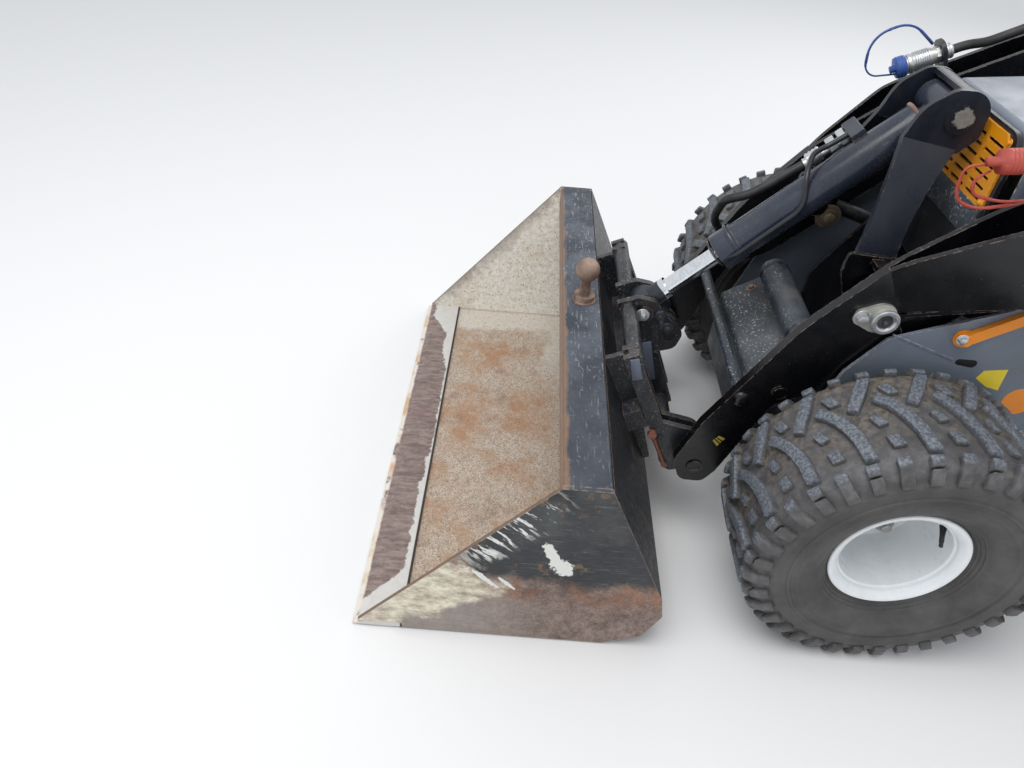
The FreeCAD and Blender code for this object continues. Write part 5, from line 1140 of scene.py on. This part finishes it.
cap_ribs = ribbed("Cap_ribs", 0.088, 0.112, 0.0183, 0.0190, 4, COUPLER_BASE, LEFT_OUT)
fit(cap_ribs, "loader_arms", "cap_red", cap_red)
blue_ribs = ribbed("Blue_cap_ribs", 0.070, 0.084, 0.0203, 0.0210, 3,
                   COUPLER_BASE - Vector((2 * COUPLER_BASE.x, 0, 0)), RIGHT_OUT)
fit(blue_ribs, "loader_arms", "cap_blue", cap_blue)

# %% [markdown]
# The lift pins are held by teardrop plates: a bright bolt in the small end, and in the collar a recess with a
# grease nipple. Further down each arm has a pressed dome, and on the inside a bolt with a wide washer.

# %% Pin retainers and arm hardware
LIFT_PIN = (-0.306, 0.602)
FACE_X = 0.272
collar = lathe("Collar", [(0, 0.0128), (0, 0.0210), (0.0015, 0.0232), (0.0045, 0.0232), (0.0060, 0.0215),
                          (0.0060, 0.0168), (0.0040, 0.0142), (0.0020, 0.0128), (0, 0.0128)],
               (FACE_X - 0.0002, *LIFT_PIN), (1, 0, 0), steps=48)
well = lathe("Well", [(0, 0), (0, 0.0130), (0.0008, 0.0130), (0.0008, 0.0050), (0.0060, 0.0042), (0.0068, 0.0028),
                      (0.0080, 0.0034), (0.0092, 0.0028), (0.0096, 0)], (FACE_X - 0.0001, *LIFT_PIN), (1, 0, 0), steps=32)
fit(mirrored("Retainer_wells", well), "loader_arms", "ball_rust", iron)
keeper_bolt = bolts("Keeper_bolt", [((FACE_X - 0.006, -0.344, 0.603), (1, 0, 0), 0.0165)])
fit(mirrored("Retainer_hardware", collar, keeper_bolt), "loader_arms", "zinc_plate", silver)

dome = lathe("Arm_dome", [(0, 0), (0, 0.0165), (0.0015, 0.0165), (0.0045, 0.0150), (0.0072, 0.0110), (0.0084, 0.0060),
                          (0.0088, 0)], (0.2599, -0.494, 0.400), (1, 0, 0), steps=40)
hitch_cap = lathe("Hitch_pin_cap", [(0, 0), (0, 0.0150), (0.001, 0.0160), (0.003, 0.0160), (0.0040, 0.0150),
                                    (0.0040, 0.0100), (0.0030, 0.0090), (0.0030, 0)], (0.2599, -0.542, 0.216),
                  (1, 0, 0), steps=48)
fit(mirrored("Arm_caps", dome, hitch_cap), "loader_arms", "arm_black", arm_paint)

washer = lathe("Wide_washer", [(0, 0), (0, 0.0260), (0.001, 0.0268), (0.003, 0.0268), (0.004, 0.0255), (0.004, 0)],
               (0.1622, -0.274, 0.579), (-1, 0, 0), steps=48)
washer_bolt = bolts("Washer_bolt", [((0.1585, -0.274, 0.579), (-1, 0, 0), 0.020)])
fit(mirrored("Inner_arm_bolts", washer, washer_bolt), "loader_arms", "zinc_plate", dusty_zinc)

# %% [markdown]
# Small blank tags sit on the arm's lower end and on the link. They are cut from thin yellow foil with two dark
# bars; they say nothing.

# %% Blank tags
def tag(name, corners, x, lift=0.0006):
    """A foil tag with two dark bars across it; corners run round it in (y, z)."""
    a, b, c, d = (Vector((0, *corner)) for corner in corners)
    place = Matrix.Translation((x, 0, 0))
    foil = press(name, [(p.y, p.z) for p in (a, b, c, d)], lift, place, bevel=0.0)
    bars = []
    for start, end in ((0.28, 0.42), (0.58, 0.72)):
        outline = [a.lerp(d, start), b.lerp(c, start), b.lerp(c, end), a.lerp(d, end)]
        bars.append(press("Bar", [(p.y, p.z) for p in outline], 0.0003, Matrix.Translation((x + lift, 0, 0)), bevel=0.0))
    coat(foil, aged_foil)
    for bar in bars:
        coat(bar, hole_shade_and_print_black)
    return joined(name, [foil] + bars)


def ride(piece, body, slot):
    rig.ride(piece, body)
    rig.slot(piece, slot)
    print(piece.name, "on", body)


ride(mirrored("Arm_tags", tag("Arm_tag", [(-0.512, 0.303), (-0.499, 0.297), (-0.510, 0.276), (-0.521, 0.289)], 0.2600)),
     "loader_arms", "cap_red")
ride(tag("Link_tag", [(-0.696, 0.395), (-0.685, 0.396), (-0.681, 0.368), (-0.691, 0.369)], 0.0400), "bucket", "cap_red")

# %% [markdown]
# The quick hitch has its own hardware: the bright bolt and washer of the link pin, a teardrop keeper with two
# bolts beside it, a smooth flat bar on the link plate, and two rusty bolts above each locking lever.

# %% Hitch hardware
LINK_FACE_X = 0.040


def teardrop(name, small, small_radius, large, large_radius, thickness, x, steps=14):
    """A plate round two circles, drawn as their hull in the Y-Z plane."""
    small, large = Vector(small), Vector(large)
    heading = math.atan2(*(small - large).yx)
    lean = math.acos((large_radius - small_radius) / (small - large).length)
    points = []
    for centre, radius, start, end in ((small, small_radius, -lean, lean), (large, large_radius, lean, 2 * math.pi - lean)):
        for i in range(steps + 1):
            angle = heading + start + (end - start) * i / steps
            points.append((centre.x + radius * math.cos(angle), centre.y + radius * math.sin(angle)))
    return press(name, points, thickness, Matrix.Translation((x, 0, 0)))


link_bolt = joined("Link_bolt", [
    lathe("Link_washer", [(0, 0), (0, 0.0130), (0.0010, 0.0138), (0.0028, 0.0138), (0.0038, 0.0128), (0.0038, 0)],
          (0.0476, -0.666, 0.430), (1, 0, 0), steps=40),
    bolts("Link_bolt_head", [((0.0505, -0.666, 0.430), (1, 0, 0), 0.0165)])])
fit(mirrored("Link_bolts", link_bolt), "bucket", "zinc_plate", silver)

keeper = teardrop("Link_keeper", (-0.6285, 0.4260), 0.0120, (-0.6080, 0.3980), 0.0175, 0.006, LINK_FACE_X)
keeper_bolts = bolts("Keeper_bolts", [((LINK_FACE_X + 0.006, -0.6285, 0.4260), (1, 0, 0), 0.0105),
                                      ((LINK_FACE_X + 0.006, -0.6080, 0.3980), (1, 0, 0), 0.0150)])
coat(keeper, barrel_paint)
coat(keeper_bolts, iron)
ride(mirrored("Link_keepers", joined("Keeper", [keeper, keeper_bolts])), "bucket", "bucket_black")

# The flat bars' light blue-grey holds a painted reflection of the sky.
flat_bar = press("Flat_bar", [(-0.681, 0.346), (-0.634, 0.359), (-0.607, 0.259), (-0.656, 0.243)], 0.004,
                 Matrix.Translation((LINK_FACE_X, 0, 0)), bevel=0.001)
outer_bar = press("Outer_bar", [(-0.7064, 0.4440), (-0.6897, 0.4490), (-0.6749, 0.4027), (-0.6948, 0.3958)], 0.004,
                  Matrix.Translation((0.224, 0, 0)), bevel=0.001)
fit(mirrored("Link_flat_bars", flat_bar, outer_bar), "bucket", "panel_grey", bar_grey_and_reflection)

lever_bolts = bolts("Lever_bolts", [((0.224, -0.651, 0.287), (1, 0, 0), 0.009), ((0.224, -0.640, 0.307), (1, 0, 0), 0.009),
                                    ((0.224, -0.615, 0.255), (1, 0, 0), 0.008)])
fit(mirrored("Hitch_bolts", lever_bolts), "bucket", "ball_rust", iron)

# %% [markdown]
# The side panels carry a pressed fold that runs down to a slot with a turned-in lip, and two stickers that are left
# blank: a yellow pentagon and an orange disc. The slot's opening is a thin black sheet of painted shade.

# %% Side panel details
PANEL_X = 0.272
fold = press("Panel_fold", [(-0.2850, 0.5800), (-0.2810, 0.5745), (-0.1590, 0.5315), (-0.1590, 0.5370)], 0.0012, Matrix.Translation((PANEL_X - 0.0001, 0, 0)),
             bevel=0.0005)
coat(fold, grey_paint)
# The slot is a thin black sheet on the panel: painted shade of its opening.
slot_hole = teardrop("Panel_slot", (-0.1500, 0.5320), 0.0062, (-0.1260, 0.5300), 0.0080, 0.0005, PANEL_X)
coat(slot_hole, hole_shade_and_print_black)
pentagon = press("Pentagon", [(-0.1059, 0.4997), (-0.0989, 0.517), (-0.0596, 0.5237), (-0.0561, 0.4767), (-0.0807, 0.4828)],
                 0.0004, Matrix.Translation((PANEL_X, 0, 0)), bevel=0.0)
coat(pentagon, sticker_yellow)
disc = lathe("Disc", [(0, 0), (0, 0.030), (0.0004, 0.030), (0.0004, 0)], (PANEL_X, -0.008, 0.455), (1, 0, 0), steps=64)
coat(disc, sticker_orange)
for piece in (slot_hole, pentagon, disc, fold):
    ride(mirrored(piece.name + "s", piece), "chassis", "panel_grey")

panel_seats = [((PANEL_X, y, z), (1, 0, 0), 0.011) for y, z in ((-0.375, 0.180), (-0.100, 0.160), (0.200, 0.160), (0.500, 0.160),
                                                             (0.685, 0.180), (0.685, 0.450), (0.685, 0.740), (0.320, 0.720))]
fit(mirrored("Panel_bolts", bolts("Panel_bolt_row", panel_seats)), "chassis", "zinc_plate", zinc)

# %% [markdown]
# Each safety strut hangs from a bright bolt at its lower end.

# %% Strut bolts
strut_bolts = bolts("Strut_bolt", [((0.2872, -0.1765, 0.5890), (1, 0, 0), 0.0115)])
fit(mirrored("Strut_bolts", strut_bolts), "chassis", "zinc_plate", silver)

# %% [markdown]
# On the sloping nose plate two rusty bolts clamp the floor; the suction pipe that crosses behind it has a
# clamp at each end. The golden grille is held by four small screws.

# %% Nose and grille screws
NOSE_UP = (0, -0.535, 0.845)
nose_bolts = bolts("Nose_bolts", [((-0.126, -0.399, 0.4075), NOSE_UP, 0.012), ((0.126, -0.399, 0.4075), NOSE_UP, 0.012)])
fit(nose_bolts, "chassis", "ball_rust", rust_brown)
clamps = [ribbed("Clamp", x, x + 0.012, 0.0302, 0.0312, 2, (0, -0.368, 0.463), (1, 0, 0), steps=48) for x in (-0.104, 0.125)]
fit(joined("Pipe_clamps", clamps), "chassis", "chassis_black", barrel_paint)
apron = press("Grille_apron", [(-0.1392, 0.6990), (0.1392, 0.6990), (0.1392, 0.7530), (-0.1392, 0.7530)], 0.0055,
              Matrix.Translation((0, -0.1538, 0)) @ Matrix.Rotation(-math.pi / 2, 4, "Z"), bevel=0.0003)
fit(apron, "chassis", "panel_grey", tub_paint)
grille_seats = [((x, -0.158, z), (0, -1, 0), 0.0075) for x in (-0.130, 0.130) for z in (0.762, 0.866)]
fit(bolts("Grille_screws", grille_seats), "chassis", "grille_yellow", yellow_paint)

# %% [markdown]
# The bonnet breathes through louvres on both sides. One louvre is a flattened half drop; a column of them is
# pressed from it. A latch with a turned key plate holds the bonnet at its front corner.

# %% Bonnet louvres and latch
BONNET_X = 0.155


def louvre():
    deselect()
    bpy.ops.mesh.primitive_cube_add(size=1, location=(0, 0, 0))
    made = bpy.context.object
    bpy.ops.object.mode_set(mode="EDIT")
    bpy.ops.mesh.select_all(action="SELECT")
    bpy.ops.transform.resize(value=(0.006, 0.096, 0.014))
    bpy.ops.mesh.bevel(offset=0.0028, segments=3, affect="EDGES")
    return settle(made, smooth=50)


louvre_places = [Matrix.Translation((BONNET_X + 0.0015, y, z)) @ Matrix.Rotation(math.radians(-14), 4, "Y")
                 for y in (0.150, 0.290) for z in (0.720, 0.744, 0.768, 0.792, 0.816, 0.840)]
fit(mirrored("Bonnet_louvres", joined("Louvre_column", copies(louvre(), louvre_places))), "bonnet", "panel_grey",
    grey_paint)
latch = lathe("Latch", [(0, 0), (0, 0.0150), (0.002, 0.0165), (0.004, 0.0160), (0.004, 0.0105), (0.0075, 0.0095),
                        (0.0082, 0.0085), (0.0082, 0)], (BONNET_X, -0.080, 0.735), (1, 0, 0), steps=40)
# The key slot is a thin black sheet on the latch: painted shade of the keyhole.
key_slot = press("Key_slot", [(-0.0812, 0.730), (-0.0788, 0.730), (-0.0788, 0.740), (-0.0812, 0.740)], 0.0004,
                 Matrix.Translation((BONNET_X + 0.0081, 0, 0)), bevel=0.0)
coat(latch, zinc)
coat(key_slot, hole_shade_and_print_black)
ride(mirrored("Bonnet_latches", joined("Latch", [latch, key_slot])), "bonnet", "zinc_plate")

# %% [markdown]
# The operator stands behind the loader and sees the dash: an hour gauge in a bright bezel between the levers,
# a key, two rocker switches and a row of pilot lamps. The levers have rubber bellows and pear-shaped grips.

# %% Dash and levers
DASH_UP = Vector((0, 0.3387, 0.9409))
DASH_DOWN = Vector((0, 0.9409, -0.3387))
DASH_MIDDLE = Vector((0, 0.6997, 1.1774))


def on_dash(x, down, lift=0.0):
    return DASH_MIDDLE + DASH_DOWN * down + DASH_UP * lift + Vector((x, 0, 0))


bezel = lathe("Bezel", [(-0.002, 0), (-0.002, 0.0240), (0.004, 0.0250), (0.0070, 0.0238), (0.0070, 0.0208),
                        (0.0035, 0.0200), (0.0035, 0)], on_dash(0, 0.018), DASH_UP, steps=56)
coat(bezel, chrome)
dial = lathe("Dial", [(0.0034, 0), (0.0034, 0.0200), (0.0040, 0.0200), (0.0040, 0)], on_dash(0, 0.018), DASH_UP, steps=56)
coat(dial, glass_grey)
needle = press("Needle", [(-0.0010, -0.004), (0.0010, -0.004), (0.0004, 0.0160), (-0.0004, 0.0160)], 0.0006,
               facing(DASH_UP, on_dash(0, 0.018, 0.0040)), bevel=0.0)
coat(needle, red_plastic)
key_barrel = lathe("Key_barrel", [(-0.002, 0), (-0.002, 0.0140), (0.003, 0.0140), (0.0045, 0.0125), (0.0045, 0.0070),
                                  (0.0035, 0.0060), (0.0035, 0)], on_dash(0.128, 0.010), DASH_UP, steps=40)
coat(key_barrel, zinc)
key = press("Key", [(-0.0015, 0.0), (0.0015, 0.0), (0.0015, 0.012), (0.0085, 0.016), (0.0085, 0.026), (0.004, 0.030),
                    (-0.004, 0.030), (-0.0085, 0.026), (-0.0085, 0.016), (-0.0015, 0.012)], 0.002,
            Matrix.Translation(on_dash(0.127, 0.010, 0.003)) @ Matrix.Rotation(math.radians(-20), 4, "X"))
coat(key, zinc)
dash_parts = [bezel, dial, needle, key_barrel, key]
for x in (-0.142, -0.114):
    rocker = press("Rocker", [(-0.012, 0.0), (0.012, 0.0), (0.012, 0.005), (0.009, 0.0095), (0.0, 0.0055), (-0.009, 0.0070),
                              (-0.012, 0.004)], 0.017, Matrix.Translation(on_dash(x - 0.0085, 0.012, -0.0005))
                   @ Matrix.Rotation(math.radians(-19.8), 4, "X"), bevel=0.0008)
    coat(rocker, red_plastic if x < -0.13 else grip_rubber)
    dash_parts.append(rocker)
for i, lens in enumerate((red_plastic, sticker_orange, sticker_yellow, glass_grey)):
    pilot = lathe("Pilot", [(-0.001, 0), (-0.001, 0.0045), (0.001, 0.0045), (0.0024, 0.0035), (0.0030, 0.0015), (0.0031, 0)],
                  on_dash(-0.018 + 0.012 * i, -0.022), DASH_UP, steps=20)
    dash_parts.append(coat(pilot, lens))
ride(joined("Dash", dash_parts), "chassis", "console_plastic")

LEVER_X = 0.070
bellows_profile = [(0, 0), (0, 0.0262)]
for i in range(6):
    wide = 0.0262 - 0.0022 * i
    bellows_profile += [(0.0025 + 0.006 * i, wide), (0.0055 + 0.006 * i, wide - 0.0034)]
bellows_profile += [(0.0385, 0.0118), (0.0400, 0.0095), (0.0400, 0)]
bellows = lathe("Bellows", bellows_profile, on_dash(LEVER_X, 0), DASH_UP, steps=40, smooth=50)
grip = lathe("Grip", [(0.0660, 0), (0.0660, 0.0085), (0.0700, 0.0110), (0.0780, 0.0140), (0.0880, 0.0188),
                      (0.0980, 0.0206), (0.1060, 0.0200), (0.1120, 0.0170), (0.1160, 0.0110), (0.1172, 0.0050),
                      (0.1174, 0)], on_dash(LEVER_X, 0), DASH_UP, steps=40, smooth=60)
fit(mirrored("Lever_grips", bellows, grip), "chassis", "console_plastic", grip_rubber)

# %% [markdown]
# The thigh rest is a stitched foam pad. Its body starts as a slightly small block that cloth simulation blows
# up from inside; the back stays flat on the console. Two sewn channels and a piping cord round the edge follow.

# %% Padded thigh rest
REST_SIZE = Vector((0.286, 0.034, 0.126))
REST_MIDDLE = Vector((0, 0.8035, 0.920))
REST_BACK_Y = 0.7845


def rest_pad():
    deselect()
    bpy.ops.mesh.primitive_cube_add(size=1, location=REST_MIDDLE)
    pad = bpy.context.object
    pad.name = "Thigh_rest_pad"
    bpy.ops.object.transform_apply(location=True, rotation=True, scale=True)
    bpy.ops.object.mode_set(mode="EDIT")
    bpy.ops.mesh.select_all(action="SELECT")
    bpy.ops.transform.resize(value=REST_SIZE, center_override=REST_MIDDLE)
    bpy.ops.mesh.select_all(action="DESELECT")
    bpy.ops.object.mode_set(mode="OBJECT")
    for edge in pad.data.edges:
        a, b = (pad.data.vertices[i].co for i in edge.vertices)
        edge.select = abs(a.y - b.y) > 0.5 * REST_SIZE.y
    bpy.ops.object.mode_set(mode="EDIT")
    bpy.ops.mesh.bevel(offset=0.030, segments=5, affect="EDGES")
    bpy.ops.object.mode_set(mode="OBJECT")
    pad.data.remesh_voxel_size = 0.005
    bpy.ops.object.voxel_remesh()
    start = [vertex.co.copy() for vertex in pad.data.vertices]
    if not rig.quick():
        cloth = pad.modifiers.new("Cloth", "CLOTH")
        cloth.settings.use_pressure = True
        cloth.settings.uniform_pressure_force = 4.0
        cloth.settings.effector_weights.gravity = 0.0
        for frame_number in range(1, 21):
            bpy.context.scene.frame_set(frame_number)
        swollen = pad.evaluated_get(bpy.context.evaluated_depsgraph_get()).data
        blown = [vertex.co.copy() for vertex in swollen.vertices]
        pad.modifiers.remove(cloth)
        bpy.context.scene.frame_set(1)
        for vertex, before, after in zip(pad.data.vertices, start, blown):
            move = after - before
            vertex.co = before + move * min(1.0, 0.007 / max(move.length, 1e-6))
    fine = pad.modifiers.new("Round", "SUBSURF")
    fine.levels = fine.render_levels = 1
    bpy.ops.object.modifier_apply(modifier=fine.name)
    return pad


rest = rest_pad()
for vertex in rest.data.vertices:
    x, y, z = vertex.co
    outward = max(0.0, (y - 0.800) / 0.020)
    crown = 0.006 * (1 - (x / 0.15) ** 2) * max(0.0, 1 - ((z - 0.92) / 0.07) ** 2)
    groove = sum(math.exp(-((x - channel) / 0.0035) ** 2) for channel in (-0.052, 0.052))
    vertex.co = (x, max(REST_BACK_Y, y + min(outward, 1.0) * (crown - 0.0055 * groove)), z)
bpy.ops.object.shade_smooth_by_angle(angle=math.radians(60))
bpy.context.view_layer.update()
print("rest reaches", [round(max(vertex.co[i] for vertex in rest.data.vertices), 4) for i in range(3)])


def corner_loop(half_x, half_z, radius, y, steps=6):
    """Points round a rectangle with round corners."""
    points = []
    for k, (sx, sz) in enumerate(((1, 1), (-1, 1), (-1, -1), (1, -1))):
        for i in range(steps + 1):
            angle = math.pi / 2 * (k + i / steps)
            points.append((sx * (half_x - radius) + radius * math.cos(angle), y,
                           REST_MIDDLE.z + sz * (half_z - radius) + radius * math.sin(angle)))
    return points


def piping(name, points, radius):
    """A cord along a closed line of points: the edges become a curve that is given a round bevel."""
    loop = outline_mesh(name, points + points[:1])
    bpy.ops.mesh.select_all(action="SELECT")
    bpy.ops.mesh.remove_doubles(threshold=0.00005)
    bpy.ops.object.mode_set(mode="OBJECT")
    bpy.ops.object.convert(target="CURVE")
    made = bpy.context.object
    made.data.bevel_depth = radius
    made.data.bevel_resolution = 3
    bpy.ops.object.convert(target="MESH")
    bpy.ops.object.shade_smooth_by_angle(angle=math.radians(70))
    return made


rest_piping = piping("Rest_piping", corner_loop(0.1455, 0.0655, 0.030, 0.7975), 0.0024)
coat(rest, vinyl)
coat(rest_piping, seam_thread)
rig.ride(rest, "chassis")
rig.replaces(rest, "thigh_rest")
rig.slot(rest, "rest_foam")
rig.padded(rest, fill=0.8)
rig.ride(rest_piping, "chassis")
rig.slot(rest_piping, "rest_foam")

# %% [markdown]
# The platform's deck has a raised anti-slip pattern of small lozenges that alternate their direction. One
# lozenge with eight faces is copied over the deck.

# %% Anti-slip deck
DECK_Z = 0.262


def lozenge():
    made = outline_mesh("Lozenge", [(-0.012, 0, 0), (0, -0.0035, 0), (0.012, 0, 0), (0, 0.0035, 0)])
    bpy.ops.mesh.select_all(action="SELECT")
    bpy.ops.mesh.edge_face_add()
    bpy.ops.mesh.select_all(action="SELECT")
    bpy.ops.mesh.extrude_region_move(TRANSFORM_OT_translate={"value": (0, 0, 0.0018)})
    bpy.ops.transform.resize(value=(0.75, 0.6, 1.0), center_override=(0, 0, 0))
    return settle(made)


lozenge_places = []
for row in range(13):
    for column in range(23):
        x, y = -0.297 + 0.027 * column, 0.832 + 0.0265 * row
        angle = math.radians(45 if (row + column) % 2 else -45)
        lozenge_places.append(Matrix.Translation((x, y, DECK_Z - 0.0001)) @ Matrix.Rotation(angle, 4, "Z"))
fit(joined("Deck_lozenges", copies(lozenge(), lozenge_places)), "chassis", "rail_black", black_paint)

# %% [markdown]
# The back of the machine is plain: a plate with eight bolts and two round lamps with red lenses. The arm pins
# end in caps with a bolt and a grease nipple.

# %% Rear plate and arm pins
REAR_Y = 0.713
rear_seats = [((x, REAR_Y, z), (0, 1, 0), 0.013) for x in (-0.245, 0.245) for z in (0.40, 0.52, 0.64, 0.86)]
fit(bolts("Rear_plate_bolts", rear_seats), "chassis", "zinc_plate", zinc)
lamp_body = lathe("Lamp_body", [(0, 0), (0, 0.0340), (0.016, 0.0340), (0.019, 0.0320), (0.019, 0.0285), (0.017, 0.0285),
                                (0.017, 0)], (0.215, REAR_Y, 0.765), (0, 1, 0), steps=48)
coat(lamp_body, plastic)
lamp_lens = lathe("Lamp_lens", [(0.0168, 0), (0.0168, 0.0283), (0.022, 0.0275), (0.0255, 0.0220), (0.0275, 0.0120),
                                (0.0280, 0)], (0.215, REAR_Y, 0.765), (0, 1, 0), steps=48)
coat(lamp_lens, lamp_red)
ride(mirrored("Rear_lamps", lamp_body, lamp_lens), "chassis", "console_plastic")
arm_pin_bolts = bolts("Arm_pin_bolts", [((0.3408, 0.660, 1.040), (1, 0, 0), 0.024)])
fit(mirrored("Arm_pin_bolt_pair", arm_pin_bolts), "chassis", "zinc_plate", zinc)

# %% [markdown]
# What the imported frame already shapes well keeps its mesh: plates, tubes, castings. Each only gets its finish.

# %% Dress the frame
FINISHES = {
    tub_paint: ["belly_tub", "suction_pipe"],
    black_paint: ["bay_wall_left", "bay_wall_right", "side_sill_left", "side_sill_right",
                  "lift_towers", "rear_plate", "hub_motors", "grille_surround", "bonnet_hinge",
                  "platform", "grab_rail", "coupler_plates"],
    frame_paint: ["hitch_frame", "bucket_brackets"],
    plastic: ["console", "control_levers"],
    iron: ["engine_block"],
    barrel_paint: ["tilt_barrel", "lift_barrel_left", "lift_barrel_right"],
    scuffed_paint: ["cross_tube"],
    rod_chrome: ["tilt_rod"],
    dull_rod: ["lift_rod_left", "lift_rod_right"],
    zinc: ["pin_retainers", "couplers"],
    pipe_steel: ["tilt_pipework"],
    pin_end: ["tilt_pin"],
    bucket_finish: ["bucket_shell", "bucket_rail"],
    edge_finish: ["cutting_edge"],
    rust_brown: ["tow_ball"],
    copper: ["hitch_locks"],
    orange_paint: ["safety_struts"],
    hose_finish: ["arm_hoses", "tilt_hose"],
    arm_paint: ["arm_left", "arm_right"],
    portal_paint: ["portal_left", "portal_right", "portal_saddle"],
    grey_paint: ["side_panel_left", "side_panel_right", "bonnet"],
    yellow_paint: ["front_grille"],
}
for material, names in FINISHES.items():
    for name in names:
        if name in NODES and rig.alive(NODES[name]):
            coat(NODES[name], material)
print("dressed", sum(len(names) for names in FINISHES.values()), "nodes")

bpy.data.objects.remove(BOLT)

# %% Write the sizes and finish
with open("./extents.json", "w") as file:
    json.dump({"cad": [list(corner) for corner in CAD_BOX], "visual": [list(corner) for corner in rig.bounds()]}, file)
